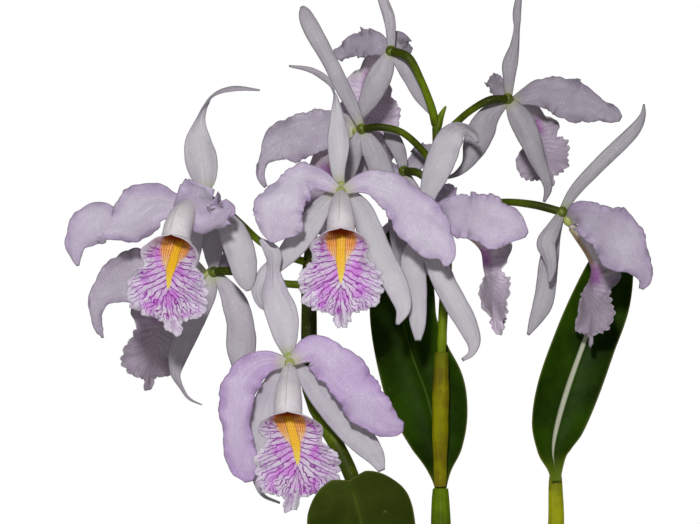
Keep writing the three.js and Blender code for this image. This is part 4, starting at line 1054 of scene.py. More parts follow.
def column_paint(name):
    """The column: cream flushed with rose, a darker cap at its end."""
    paint = Paint(name)
    along = paint.attribute("chart")[0]
    mottle = paint.noise(500.0, 3.0)
    paint.colour = paint.mix(
        paint.ease(mottle, 0.35, 0.7), linear(226, 220, 206), linear(206, 178, 198))
    paint.lay(linear(170, 190, 90), paint.ease(along, 0.12, 0.0))
    paint.lay(linear(150, 66, 120), paint.ease(along, 0.86, 0.93))
    paint.bump(mottle, 0.0003, 0.4)
    return paint.finish(mottle, 0.5, 0.35)


def hub_paint(name, pale, deep):
    """The green heart of a bloom where its parts meet, glossier than they are."""
    paint = Paint(name)
    mottle = paint.noise(420.0, 3.0)
    paint.colour = paint.mix(paint.ease(mottle, 0.3, 0.7), pale, deep)
    paint.bump(mottle, 0.0003, 0.4)
    return paint.finish(mottle, 0.5, 0.36)


def stem_paint(name, bright, dark):
    """A green stalk: brighter and darker stretches, fine lengthwise lines, brown scars and small
    pale specks, darkened by its painted shade, most towards its end."""
    paint = Paint(name)
    along = paint.attribute("chart")[0]
    shade = paint.attribute("finish")[1]
    clouds = paint.noise(38.0, 3.0)
    share = paint.plus(paint.ease(clouds, 0.35, 0.68, 0.75), paint.times(shade, 0.4))
    paint.colour = paint.mix(paint.math("MINIMUM", share, 1.0), bright, dark)
    upper = paint.times(shade, paint.ease(along, 0.45, 0.85, 1.6))
    paint.lay(linear(38, 40, 4), paint.math("MINIMUM", upper, 0.85))
    lines = paint.noise(1.0, 2.0, at=paint.scaled(900.0, 900.0, 60.0))
    paint.lay(dark, paint.ease(lines, 0.45, 0.7, 0.3))
    paint.lay(linear(176, 178, 110), paint.ease(paint.cells(420.0), 0.17, 0.08, 0.35))
    scars = paint.noise(150.0, 4.0, 0.65)
    paint.lay(linear(96, 72, 34), paint.ease(scars, 0.66, 0.74, 0.6))
    paint.bump(lines, 0.0002, 0.5)
    paint.bump(paint.noise(300.0, 3.0), 0.0004, 0.25)
    return paint.finish(clouds, 0.42, 0.55, Specular_IOR_Level=0.15)


def sheath_paint(name, straw):
    """The papery sheath: olive straw with long fibres, darker and browner in patches."""
    paint = Paint(name)
    along = paint.attribute("chart")[0]
    fibres = paint.noise(1.0, 3.0, at=paint.scaled(1100.0, 1100.0, 40.0))
    brown = paint.ease(paint.noise(55.0, 4.0, 0.6), 0.42, 0.68, 0.7)
    paint.colour = paint.mix(brown, straw, linear(98, 78, 14))
    paint.lay(linear(150, 144, 14), paint.ease(fibres, 0.45, 0.7, 0.55))
    paint.lay(linear(84, 98, 10), paint.ease(along, 0.75, 1.0, 0.6))
    paint.lay(linear(112, 88, 40), paint.ease(along, 0.12, 0.0, 0.4))
    paint.lay(linear(70, 50, 18), paint.ease(paint.noise(260.0, 3.0, 0.7), 0.66, 0.72, 0.7))
    paint.bump(fibres, 0.0005, 0.6)
    return paint.finish(fibres, 0.55, 0.75, Specular_IOR_Level=0.12)


def leaf_paint(name, face, dark, base, shaded_half=0.0):
    """A strap leaf: waxy dark green in clouds, a paler midrib and foot, faint lengthwise veins,
    a thin light margin and a few scars. Shaded half is how much darker its one half is: painted
    shade."""
    paint = Paint(name)
    along, across, reverse = paint.attribute("chart")
    edge, pale_rib, _ = paint.attribute("finish")
    clouds = paint.noise(24.0, 4.0, 0.6)
    paint.colour = paint.mix(paint.ease(clouds, 0.36, 0.66), face, dark)
    fan = paint.plus(paint.times(across, 16.0), paint.times(paint.noise(60.0, 2.0), 0.6), 100.0)
    veins = paint.line(fan, 1.0, 0.28, 0.1)
    paint.lay(base, veins, 0.07)
    # One half of the leaf darker: painted shade.
    paint.lay(dark, paint.ease(across, 0.0, 0.16, shaded_half))
    taper = paint.times(pale_rib, paint.span(along, 0.1, 0.7, 0.1, 0.06))
    rib_half = paint.plus(0.035, taper)
    rib = paint.ease(paint.math("ABSOLUTE", across), rib_half, paint.times(rib_half, 0.5))
    paint.lay(paint.mix(pale_rib, base, linear(192, 194, 172)), rib,
              paint.plus(0.25, paint.times(pale_rib, 0.75)), paint.ease(along, 0.97, 0.85))
    paint.lay(base, paint.ease(along, 0.13, 0.0, 0.9))
    paint.lay(linear(74, 92, 40), reverse, 0.35)
    paint.lay(linear(128, 124, 58), paint.ease(edge, 0.0009, 0.0002, 0.5))
    paint.lay(linear(120, 112, 66), paint.ease(paint.noise(85.0, 5.0, 0.7), 0.68, 0.72, 0.5))
    paint.lay(linear(130, 140, 90), paint.ease(paint.cells(600.0), 0.14, 0.06, 0.2))
    paint.bump(paint.noise(120.0, 4.0), 0.0012, 0.3)
    paint.bump(veins, -0.0002, 0.12)
    paint.bump(paint.cells(1500.0), 0.00008, 0.4)
    return paint.finish(clouds, 0.42, 0.54, Specular_IOR_Level=0.05)


def bulb_paint(name, bright, dark):
    """A ribbed pseudobulb: yellow green, browner down at its foot under dry papery skin."""
    paint = Paint(name)
    along = paint.attribute("chart")[0]
    clouds = paint.noise(40.0, 4.0, 0.6)
    paint.colour = paint.mix(paint.ease(clouds, 0.35, 0.68), bright, dark)
    ribs = paint.noise(1.0, 3.0, at=paint.scaled(700.0, 700.0, 30.0))
    paint.lay(dark, paint.ease(ribs, 0.45, 0.7, 0.35))
    ragged = paint.plus(along, paint.times(paint.math("SUBTRACT", clouds, 0.5), 0.5))
    skin = paint.ease(ragged, 0.46, 0.52)
    dry = paint.mix(paint.ease(ribs, 0.4, 0.65), linear(170, 150, 100), linear(112, 90, 54))
    paint.lay(dry, skin, 0.93)
    paint.lay(linear(88, 66, 32), paint.ease(paint.noise(330.0, 3.0, 0.7), 0.66, 0.73, 0.55))
    paint.bump(ribs, 0.0006, 0.5)
    paint.bump(skin, 0.0004, 0.6)
    return paint.finish(skin, 0.45, 0.8, 0.0, 1.0, Specular_IOR_Level=0.15)


def bark_paint(name):
    """Bark chips: red brown to grey brown by the chip, corky ridges and a dusting of pale dust."""
    paint = Paint(name)
    chip = paint.attribute("finish")[0]
    ridges = paint.noise(230.0, 5.0, 0.7, 0.6)
    paint.colour = paint.mix(chip, linear(112, 74, 46), linear(66, 44, 30))
    paint.lay(linear(48, 31, 21), paint.ease(ridges, 0.4, 0.7))
    paint.lay(linear(142, 112, 84), paint.ease(paint.noise(90.0, 3.0), 0.55, 0.72, 0.5))
    paint.lay(linear(170, 150, 124), paint.ease(paint.noise(900.0, 3.0), 0.62, 0.75, 0.35))
    paint.bump(ridges, 0.0016, 0.8)
    paint.bump(paint.noise(1100.0, 3.0), 0.0002, 0.5)
    return paint.finish(ridges, 0.82, 0.97)


def clay_paint(name, clay):
    """Unglazed terracotta: warm mottling, turning rings, pale lime bloom low down and by the
    rim, and fine pores."""
    paint = Paint(name)
    height = paint.node("ShaderNodeSeparateXYZ", {0: paint.place}).outputs[2]
    mottle = paint.noise(30.0, 5.0, 0.6)
    paint.colour = paint.mix(paint.ease(mottle, 0.35, 0.7), clay, linear(142, 78, 50))
    ring = paint.noise(1.0, 2.0, at=paint.vector(0.0, 0.0, paint.times(height, 520.0)))
    paint.lay(linear(190, 118, 84), paint.ease(ring, 0.45, 0.7, 0.25))
    low = paint.plus(paint.ease(height, 0.05, 0.0), paint.ease(height, 0.108, 0.114, 0.5))
    paint.lay(linear(214, 196, 178), paint.ease(paint.noise(70.0, 5.0, 0.7), 0.46, 0.66), low, 0.6)
    pores = paint.ease(paint.cells(700.0), 0.2, 0.08)
    paint.lay(linear(108, 56, 36), pores, 0.4)
    paint.bump(ring, 0.0004, 0.5)
    paint.bump(paint.noise(800.0, 4.0), 0.0003, 0.5)
    paint.bump(pores, -0.0002, 0.5)
    return paint.finish(mottle, 0.82, 0.94)


def floor_paint(name):
    """A pale studio floor with the faintest cloud."""
    paint = Paint(name)
    clouds = paint.noise(3.0, 3.0)
    paint.colour = paint.mix(clouds, linear(236, 235, 233), linear(228, 227, 226))
    return paint.finish(clouds, 0.7, 0.8)


def colour_property(name, description, default):
    """A colour a user may change."""
    return bpy.props.FloatVectorProperty(
        name=name, description=description, default=default, size=3, min=0, max=1, subtype="COLOR")


def length_property(name, description, default):
    """A length a user may change, in metres."""
    return bpy.props.FloatProperty(
        name=name, description=description, default=default, min=0, subtype="DISTANCE",
        unit="LENGTH")


class BloomSettings(bpy.types.PropertyGroup):
    """Sizes and colours of the blooms."""

    tepal_thickness: length_property("Tepal Thickness", "Thickness of petals and sepals", 0.0009)
    lip_thickness: length_property("Lip Thickness", "Thickness of the lip", 0.0008)
    crisp: bpy.props.FloatProperty(
        name="Petal Crimp", description="Strength of the petals' quick waves", default=1.25, min=0)
    frill_depth: length_property("Frill Depth", "How far the lip's frill stands out", 0.0021)
    petal_colour: colour_property("Petal", "Palest petal colour", linear(224, 216, 230))
    petal_deep: colour_property("Petal Deep", "Deepest petal colour", linear(198, 166, 216))
    sepal_colour: colour_property("Sepal", "Palest sepal colour", linear(222, 220, 223))
    sepal_deep: colour_property("Sepal Deep", "Deepest sepal colour", linear(207, 198, 213))
    back_colour: colour_property("Reverse", "Colour of the blades' reverse", linear(186, 178, 188))
    vein_colour: colour_property("Lip Veins", "Colour of the lip's veins", linear(142, 10, 150))
    ground_colour: colour_property("Lip Ground", "Lilac between the veins", linear(214, 120, 226))
    stripe_colour: colour_property("Lip Stripe", "Golden stripe of the lip", linear(250, 190, 20))


class GreenSettings(bpy.types.PropertyGroup):
    """Sizes and colours of the stems, leaves and pseudobulbs."""

    leaf_thickness: length_property("Leaf Thickness", "Thickness of the leaves", 0.0015)
    leaf_colour: colour_property("Leaf", "Bright leaf colour", linear(40, 68, 2))
    leaf_dark: colour_property("Leaf Dark", "Dark leaf colour", linear(20, 40, 1))
    stem_bright: colour_property("Stem", "Bright stem colour", linear(118, 142, 14))
    stem_dark: colour_property("Stem Dark", "Dark stem colour", linear(56, 68, 4))
    bulb_colour: colour_property("Pseudobulb", "Pseudobulb colour", linear(170, 174, 16))
    sheath_colour: colour_property("Sheath", "Sheath colour", linear(144, 140, 2))


class PotSettings(bpy.types.PropertyGroup):
    """Sizes and colours of the pot and its bark."""

    height: length_property("Height", "Height of the pot", 0.132)
    top_radius: length_property("Top Radius", "Radius of the pot's rim", 0.078)
    base_radius: length_property("Base Radius", "Radius of the pot's base", 0.056)
    rim_height: length_property("Rim Height", "Height of the rim band", 0.020)
    rim_step: length_property("Rim Step", "How far the rim band stands out", 0.004)
    wall: length_property("Wall", "Thickness of the pot's wall", 0.005)
    floor: length_property("Floor", "Thickness of the pot's floor", 0.007)
    drain_radius: length_property("Drain Radius", "Radius of a drain hole", 0.005)
    drain_circle: length_property("Drain Circle", "Radius of the ring of drain holes", 0.028)
    bark_edge: length_property("Bark Edge", "Height of the bark at the wall", 0.112)
    bark_crown: length_property("Bark Crown", "How far the bark rises to the middle", 0.007)
    chips: bpy.props.IntProperty(
        name="Chips", description="Number of bark chips on top", default=420, min=1)
    clay_colour: colour_property("Clay", "Colour of the clay", linear(176, 98, 64))


class StageSettings(bpy.types.PropertyGroup):
    """Floor, light and camera."""

    floor_radius: length_property("Floor Radius", "Radius of the round floor", 1.6)
    key_power: bpy.props.FloatProperty(
        name="Key Power", description="Power of the key light", default=24.2, min=0,
        unit="POWER")
    ambient: bpy.props.FloatProperty(
        name="Ambient", description="Strength of the light from all round", default=0.06, min=0)
    view_width: length_property("View Width", "Width of the view at the plant", 0.420)


# For each bloom: how deep a lilac its petals are, and how light its sepals and its petals are.
# What they lack to 1 is shade that is painted in, because the soft stage light doesn't cast it.
SHADES = {
    "a": (0.15, 0.88, 0.92), "b": (0.2, 0.84, 0.84), "c": (0.85, 0.92, 1.0),
    "d": (0.35, 0.95, 0.92), "e": (0.3, 0.86, 0.95), "f": (0.25, 0.88, 0.72),
    "g": (0.3, 0.7, 0.7), "h": (0.3, 0.62, 0.72), "i": (0.3, 0.84, 0.86), "j": (0.35, 0.86, 0.86),
}
FRONT_BLOOMS = "abc"
# The lips of these blooms have shade painted in as well, down to this lightness.
SHADED_BLOOMS = "degh"
SHADED_LIP = 0.66

# Rows and columns of the blades of front blooms and of the others. The lips' third value is the
# share of calm in their margins.
SEPAL_GRIDS = ((76, 20), (64, 14))
PETAL_GRIDS = ((110, 42), (90, 26))
LIP_GRIDS = ((224, 68, 0.0), (130, 38, 0.6))
LEAF_GRID = (130, 44)
# Rows and sides of the round pieces.
STEM_GRID = (260, 28)
STALK_GRID = (70, 20)
BRACT_GRID = (24, 16)
SHEATH_GRID = (90, 48)
BULB_GRID = (150, 60)
COLUMN_GRID = (28, 24)
WHORL_GRID = (12, 20)
DRILL_GRID = (3, 28)
BARK_SIDES = 120
POT_SIDES = 144
FINE_STEPS = 1200

SEPAL_CRIMP = 0.25
SEPAL_CREASE = 0.0004
PETAL_CREASE = 0.00015
# Shade painted into the stalks of all blooms and into the left stem, more towards their ends.
STALK_SHADE = 0.45
LEFT_STEM_SHADE = 0.7
# Shade painted into one half of the front leaf.
YOUNG_LEAF_SHADE = 0.5

# The places of the lip's tube and limb along its midrib, and the breadths of its margin's waves.
TUBE_END = 0.036
LIMB_FREE = 0.043
FRILL_CENTRE = 0.066
FRILL_BREADTH = 0.0036
SWAY_BREADTH = 0.0085
CURL_BREADTH = 0.012


def seat_of(bloom, distance=0.0):
    """A point the given distance in front of the middle of a bloom."""
    return place([bloom["at"]])[0, :3] + facing(*bloom["face"]) * distance


def grid_for(name, grids):
    """The finer grid for a front bloom, the coarser for another."""
    return grids[0] if name in FRONT_BLOOMS else grids[1]


def tepal(bloom, part, root, seed, grid_size, thickness, crisp, tint, shade, crease):
    """One petal or sepal: a waved blade from its root through its stations."""
    cup, ruffle, stations = bloom[part]
    line = place(stations)
    first = np.array([[*root, ROOT_HALF_WIDTH, line[0][4]]])
    grid, along, across, edge = blade(
        np.vstack([first, line]), cup, ruffle, seed, *grid_size, crisp, crease,
        TEPAL_LOBES * crisp)
    front = 1.0 if facing(*bloom["face"])[1] < 0 else -1.0
    chart = {"along": along, "across": across, "edge": edge, "tint": np.full(edge.shape, tint),
             "other": np.full(edge.shape, shade)}
    return sheet(grid, thickness, chart, front)


def whorl(centre, axis, radius, half_thick, material):
    """The small body where the parts of a bloom meet: a short spindle along the axis."""
    ends = [[*(centre + axis * s * half_thick), radius, 0] for s in (-1, 0, 1)]
    part = outward(tube(ends, *WHORL_GRID, rounded=0.45))
    part["material"] = material
    return part


def lip_frame(bloom):
    """Where the lip springs from and its directions: forward, sideways and down."""
    yaw, lean = math.radians(bloom["lip"]["yaw"]), math.radians(bloom["lip"]["lean"])
    forward = np.array([math.sin(yaw), -math.cos(yaw), 0])
    right = np.array([math.cos(yaw), math.sin(yaw), 0])
    down = np.array([0, 0, -1.0])
    base = seat_of(bloom, LIP_SEAT) + down * LIP_DROP
    side = right * math.cos(lean) + down * math.sin(lean)
    return base, forward, side, down * math.cos(lean) - right * math.sin(lean)


def lip_rows(spec, rows):
    """The lip's midrib and its widths, at rows that stand evenly along its margin.

    The midrib runs at an angle that turns from the pitch to the hang by the share of bend, and
    its way ahead and down is the running sum of that angle's cosine and sine.
    """
    size = spec["size"]
    table = np.array([
        [run * size, 0, 0, half * size, wrap, share] for run, half, wrap, share in LIP])
    fine = rows_through(table, np.linspace(0, 1, FINE_STEPS))
    run, half = fine[:, 0], np.maximum(fine[:, 3], MIN_HALF_WIDTH)
    angle = np.radians(spec["pitch"] + (spec["hang"] - spec["pitch"]) * fine[:, 5])
    ahead, fall = walked(np.diff(run) / 2, angle)
    wrap = np.radians(np.maximum(fine[:, 4], 1))
    out, up = half * np.sin(wrap) / wrap, half * (1 - np.cos(wrap)) / wrap
    walk = np.hypot(np.hypot(np.diff(run), np.diff(half)), np.hypot(np.diff(out), np.diff(up)))
    margin = summed(walk)
    number = np.arange(len(run))
    at = np.interp(np.linspace(0, margin[-1], rows + 1), margin, number)
    values = run, half, wrap, angle, ahead, fall
    return [np.interp(at, number, value)[:, None] for value in values]


def lip_margin(reach, across, edge, size, seed, calm):
    """How far the lip's margin stands out in the sheet and off it.

    Round a centre low on the limb the margin is a row of rounded lobes, the absolute value of a
    sine, with finer ones on them. Each lobe also swings off the sheet, on a slower wave. Calm is
    the share by which that gives way to a few broad curls.
    """
    turn = np.arctan2(across, reach - FRILL_CENTRE * size)
    warped = turn + 0.07 * np.sin(3 * turn + seed) + 0.035 * np.sin(8 * turn + 2.2 * seed)
    grow = ease(reach, TUBE_END * size, LIMB_FREE * size)
    near = bump(edge, 0, FRILL_BREADTH * size)
    broad = bump(edge, 0, SWAY_BREADTH * size)
    strength = 0.75 + 0.35 * np.sin(4.3 * turn + 1.9 * seed)
    lobe = np.abs(np.sin(12.5 * warped + seed))
    fine = np.abs(np.sin(37 * warped + 1.7 * seed))
    outward = grow * near * (0.0021 * strength * (lobe - 0.62) + 0.0006 * (fine - 0.6))
    swing = 0.8 * broad * np.sin(6.25 * warped + 0.5 * seed)
    swing = swing + 0.5 * broad * np.sin(14 * turn + seed)
    quick = 0.5 * np.sin(25 * warped + 2.1 * seed)
    swing = swing + strength * near * (1.6 * (lobe - 0.62) + quick)
    curls = bump(edge, 0, CURL_BREADTH * size) * np.sin(4.4 * warped + 1.3 * seed)
    swing = (1 - calm) * swing + calm * (1.7 * curls + 0.5 * near * (lobe - 0.62))
    return turn, size * outward, size * grow * swing


def vein_slope(start):
    """How steeply a vein that leaves the midrib at a distance falls away from it: a straight
    line at first, and below the stripe the square of the distance past its end."""
    return -0.15 + 0.045 * (start - 40) + (np.maximum(start - 58, 0) / 6) ** 2


def vein_chart(along, off):
    """Where each point's vein leaves the midrib, and how far the veins have spread by there.

    A vein is a straight line whose fall is vein_slope times its distance from the midrib. Its
    start is found by Newton's steps, and counted so that veins start evenly spaced across
    their own direction.
    """
    start = np.broadcast_to(along, off.shape).astype(float)
    for _ in range(40):
        slope = 0.045 + np.maximum(start - 58, 0) / 18
        start = start - 0.7 * (start + off * vein_slope(start) - along) / (1 + off * slope)
    table = np.linspace(0, 110, 2200)
    pace = 1 / np.sqrt(1 + vein_slope(table) ** 2)
    count = np.cumsum(pace) * (table[1] - table[0])
    return np.interp(start, table, count), 1 + off * (0.045 + np.maximum(start - 58, 0) / 18)


def lip_sheet(bloom, seed, rows, columns, settings, calm):
    """The lip: a tube round the column that opens into a hanging, frilled limb.

    At a share u across a row the section's slope is the wrap times u, less a flare that bends
    the margin back, most at the mouth. Its place is the running sum of the slope's cosine
    sideways and of its sine towards the column, from the midrib out.
    """
    size = bloom["lip"]["size"]
    reach, half, wrap, angle, ahead, fall = lip_rows(bloom["lip"], rows)
    u = crowded(columns, 0.6)[None, :]
    bent = ease(np.abs(u), 0.7, 1.0) * np.sign(u)
    flare = 0.7 * bump(reach, 0.0405 * size, 0.003 * size)
    flare = flare + 0.5 * ease(reach, 0.042 * size, 0.055 * size)
    slope = wrap * u - flare * bent
    middle = columns // 2
    sideways, height = walked(np.diff(u, axis=1) * half / 2, slope)
    sideways = sideways - sideways[:, middle:middle + 1]
    height = height - height[:, middle:middle + 1]

    share = np.maximum(0, (reach / size - LIMB_START) / (LIP[-1][0] - LIMB_START))
    sideways = sideways + bloom["lip"]["sway"] * MM * size * np.sin(math.pi * share)
    across = u * half
    edge = np.minimum((1 - np.abs(u)) * half, (reach[-1] - reach) * 0.8)
    turn, outward, swing = lip_margin(reach, across, edge, size, seed, calm)
    sideways = sideways + outward * np.sin(turn) * np.cos(slope)
    height = height + outward * np.sin(turn) * np.sin(slope)
    along = outward * np.cos(turn)
    frill = settings.frill_depth * swing
    sideways = sideways - frill * np.sin(slope)
    height = height + frill * np.cos(slope)
    lap = 0.0008 * size * u * ease(np.abs(u), 0.8, 1)
    lap = lap * ease(reach, TUBE_END * size, 0.030 * size)
    base, forward, side, down = lip_frame(bloom)
    ahead = ahead + np.sin(angle) * (height + lap) + np.cos(angle) * along
    fall = fall - np.cos(angle) * (height + lap) + np.sin(angle) * along
    grid = (base + forward * ahead[..., None] + down * fall[..., None]
            + side * sideways[..., None])
    along_mm = np.broadcast_to(reach / size / MM, grid.shape[:2])
    vein, spread = vein_chart(along_mm, np.abs(across) / size / MM)
    chart = {"along": along_mm, "across": across / size / MM, "edge": edge, "tint": spread,
             "other": vein}
    return sheet(grid, settings.lip_thickness, chart, -1.0)


def column_shape(v, turn):
    """Scales the column's radius: a cap near its end behind a narrow neck."""
    return 1 + 0.14 * bump(v, 0.9, 0.07) - 0.12 * bump(v, 0.8, 0.03) + 0 * turn


def column_part(bloom):
    """The column: a slim body from the petals' seat down the middle of the lip's tube."""
    base, forward, _, down = lip_frame(bloom)
    spec = bloom["lip"]
    pitch = math.radians(spec["pitch"])
    start = seat_of(bloom, PETAL_SEAT)
    run, rise = COLUMN_LENGTH * spec["size"], COLUMN_RISE * spec["size"]
    end = base + forward * (math.cos(pitch) * run + math.sin(pitch) * rise)
    end = end + down * (math.sin(pitch) * run - math.cos(pitch) * rise)
    ends = [[*start, COLUMN_RADIUS, 0], [*(start + end) / 2, COLUMN_RADIUS, 0],
            [*end, COLUMN_RADIUS * 0.8, 0]]
    part = outward(tube(ends, *COLUMN_GRID, shape=column_shape, rounded=0.1))
    part["material"] = 1
    return part


class ORCHID_OT_sepals(bpy.types.Operator):
    """Three narrow sepals and the green heart of each bloom"""

    bl_idname = "orchid.sepals"
    bl_label = "Sepals"

    def execute(self, context):
        settings = context.scene.orchid_blooms
        skin = tepal_paint(
            "sepal skin", settings.sepal_colour[:], settings.sepal_deep[:], settings.back_colour[:],
            linear(186, 196, 130), 0.35)
        pale_heart = hub_paint("pale heart", linear(196, 204, 128), linear(168, 182, 92))
        dark_heart = hub_paint("dark heart", linear(118, 132, 34), linear(66, 80, 8))
        for k, (name, bloom) in enumerate(BLOOMS.items()):
            tint, shade, _ = SHADES[name]
            hub = seat_of(bloom)
            parts = [
                tepal(bloom, part, hub, 7 * k + j, grid_for(name, SEPAL_GRIDS),
                      settings.tepal_thickness, SEPAL_CRIMP, tint, shade, SEPAL_CREASE)
                for j, part in enumerate(("top_sepal", "left_sepal", "right_sepal"))]
            parts.append(whorl(hub, facing(*bloom["face"]), HUB_RADIUS, HUB_RADIUS, 1))
            heart = pale_heart if name in FRONT_BLOOMS else dark_heart
            piece = make_piece(f"sepals_{name}", parts, [skin, heart])
            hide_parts(f"bloom_{name}_sepals")
        return {"FINISHED"}


class ORCHID_OT_petals(bpy.types.Operator):
    """Two broad waved petals of each bloom, and its column"""

    bl_idname = "orchid.petals"
    bl_label = "Petals"

    def execute(self, context):
        settings = context.scene.orchid_blooms
        skin = tepal_paint(
            "petal skin", settings.petal_colour[:], settings.petal_deep[:], settings.back_colour[:],
            linear(200, 206, 150), 0.6)
        column = column_paint("column")
        heart = hub_paint("petal heart", linear(190, 198, 118), linear(158, 174, 76))
        for k, (name, bloom) in enumerate(BLOOMS.items()):
            tint, _, shade = SHADES[name]
            seat = seat_of(bloom, PETAL_SEAT)
            parts = [
                tepal(bloom, part, seat, 7 * k + 3 + j, grid_for(name, PETAL_GRIDS),
                      settings.tepal_thickness, settings.crisp, tint, shade, PETAL_CREASE)
                for j, part in enumerate(("left_petal", "right_petal"))]
            parts.append(whorl(seat, facing(*bloom["face"]), DISC_RADIUS, DISC_HALF_THICK, 2))
            parts.append(column_part(bloom))
            piece = make_piece(f"petals_{name}", parts, [skin, column, heart])
            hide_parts(f"bloom_{name}_petals")
        return {"FINISHED"}


class ORCHID_OT_lips(bpy.types.Operator):
    """The veined and frilled lip of each bloom"""

    bl_idname = "orchid.lips"
    bl_label = "Lips"

    def execute(self, context):
        settings = context.scene.orchid_blooms
        bright = lip_paint("lip skin", settings, 1.0)
        shaded = lip_paint("shaded lip skin", settings, SHADED_LIP)
        for k, (name, bloom) in enumerate(BLOOMS.items()):
            rows, columns, calm = grid_for(name, LIP_GRIDS)
            part = lip_sheet(bloom, 7 * k, rows, columns, settings, calm)
            skin = shaded if name in SHADED_BLOOMS else bright
            piece = make_piece(f"lip_{name}", [part], [skin])
            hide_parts(f"bloom_{name}_lip")
        return {"FINISHED"}


def stalk(stations, grid_size, joints=(), shade=0.0):
    """A stalk along its stations on the drawing, with a low swelling at each joint and faint
    ribs round it."""
    def shape(v, turn):
        swell = sum(0.1 * bump(v, joint, 0.012) for joint in joints)
        return 1 + swell + 0.012 * np.sin(6 * turn) + 0.02 * np.sin(9.7 * v + 2 * turn)

    return outward(tube(place(stations), *grid_size, shape=shape, rounded=0.02,
                        finish=(0.0, shade, 0.0)))


class ORCHID_OT_flower_stems(bpy.types.Operator):
    """Both flower stems with the stalks of their blooms"""

    bl_idname = "orchid.flower_stems"
    bl_label = "Flower Stems"

    def execute(self, context):
        settings = context.scene.orchid_greens
        skin = stem_paint("stem skin", settings.stem_bright[:], settings.stem_dark[:])
        for name, main, pedicels, extras, joints, shade in (
                ("right", RIGHT_STEM, RIGHT_PEDICELS, [BRACT], (0.4, 0.69, 0.86), 0.0),
                ("left", LEFT_STEM, LEFT_PEDICELS, [], (0.3, 0.55, 0.8), LEFT_STEM_SHADE)):
            parts = [stalk(main, STEM_GRID, joints, shade)]
            parts += [stalk(line, STALK_GRID, (), STALK_SHADE) for line in pedicels.values()]
            parts += [stalk(line, BRACT_GRID) for line in extras]
            piece = make_piece(f"stem_{name}", parts, [skin])
            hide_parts(f"flower_stem_{name}")
        return {"FINISHED"}


def sheath_shape(v, turn):
    """Scales the sheath's radius: blunt keels that wind a little, ribs and slow waves."""
    keels = 0.03 * np.sin(5 * turn + 3 * v) + 0.02 * np.sin(14 * turn)
    return 1 + keels + 0.03 * np.sin(21 * v)


class ORCHID_OT_sheath(bpy.types.Operator):
    """The papery sheath round the foot of the right flower stem"""

    bl_idname = "orchid.sheath"
    bl_label = "Sheath"

    def execute(self, context):
        skin = sheath_paint("sheath skin", context.scene.orchid_greens.sheath_colour[:])
        part = outward(tube(
            place(SHEATH), *SHEATH_GRID, SHEATH_FLATTEN, sheath_shape, rounded=0.006))
        piece = make_piece("sheath_paper", [part], [skin])
        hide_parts("sheath")
        return {"FINISHED"}


class ORCHID_OT_leaves(bpy.types.Operator):
    """The three strap leaves"""

    bl_idname = "orchid.leaves"
    bl_label = "Leaves"

    def execute(self, context):
        settings = context.scene.orchid_greens
        foot = linear(96, 118, 20)
        skin = leaf_paint("leaf skin", settings.leaf_colour[:], settings.leaf_dark[:], foot)
        young = leaf_paint(
            "young leaf skin", linear(64, 78, 22), linear(44, 56, 8), linear(96, 110, 38),
            YOUNG_LEAF_SHADE)
        for name, seed, rib, crease, paint in (
                ("middle", 1, 0.0, 0.0015, skin), ("right", 2, 1.0, 0.0015, skin),
                ("front", 3, 0.0, 0.0035, young)):
            cup, ruffle, stations, short = LEAVES[name]
            grid, along, across, edge = blade(
                place(stations), cup, ruffle, seed, *LEAF_GRID, 0.0, crease)
            grid = blunted(grid, along, across, *short)
            chart = {"along": along, "across": across, "edge": edge,
                     "tint": np.full(edge.shape, rib), "other": np.zeros(edge.shape)}
            part = sheet(grid, settings.leaf_thickness, chart)
            piece = make_piece(f"blade_{name}", [part], [paint])
            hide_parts(f"leaf_{name}")
        return {"FINISHED"}


def bulb_shape(v, turn):
    """Scales a bulb's radius: ribs round it and a low ring at each of its two joints."""
    ribs = 0.025 * np.sin(9 * turn + 2 * v) + 0.03 * np.sin(5 * turn)
    return 1 + ribs + 0.05 * bump(v, 0.34, 0.012) + 0.05 * bump(v, 0.66, 0.012)


class ORCHID_OT_pseudobulbs(bpy.types.Operator):
    """The stem-like bulbs that the leaves stand on"""

    bl_idname = "orchid.pseudobulbs"
    bl_label = "Pseudobulbs"

    def execute(self, context):
        settings = context.scene.orchid_greens
        skins = {
            "middle": bulb_paint("middle bulb skin", linear(108, 134, 6), linear(74, 98, 2)),
            "right": bulb_paint("right bulb skin", settings.bulb_colour[:], linear(118, 126, 22)),
        }
        skins["front"] = skins["middle"]
        for name, stations in BULBS.items():
            line = place(stations)
            line[0, 2] += BULB_RISE
            part = outward(tube(line, *BULB_GRID, BULB_FLATTEN, bulb_shape, rounded=0.005))
            piece = make_piece(f"bulb_{name}", [part], [skins[name]])
            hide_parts(f"pseudobulb_{name}")
        return {"FINISHED"}


def pot_inside(settings, z):
    """The inner radius of the pot at a height: a straight taper."""
    widening = settings.top_radius - settings.rim_step - settings.base_radius
    slope = widening / (settings.height - settings.rim_height)
    return settings.base_radius - settings.wall + slope * z


def bark_height(settings, share):
    """The bark's height at a share of its radius: a low crown that falls with the square."""
    return settings.bark_edge + settings.bark_crown * (1 - share**2)


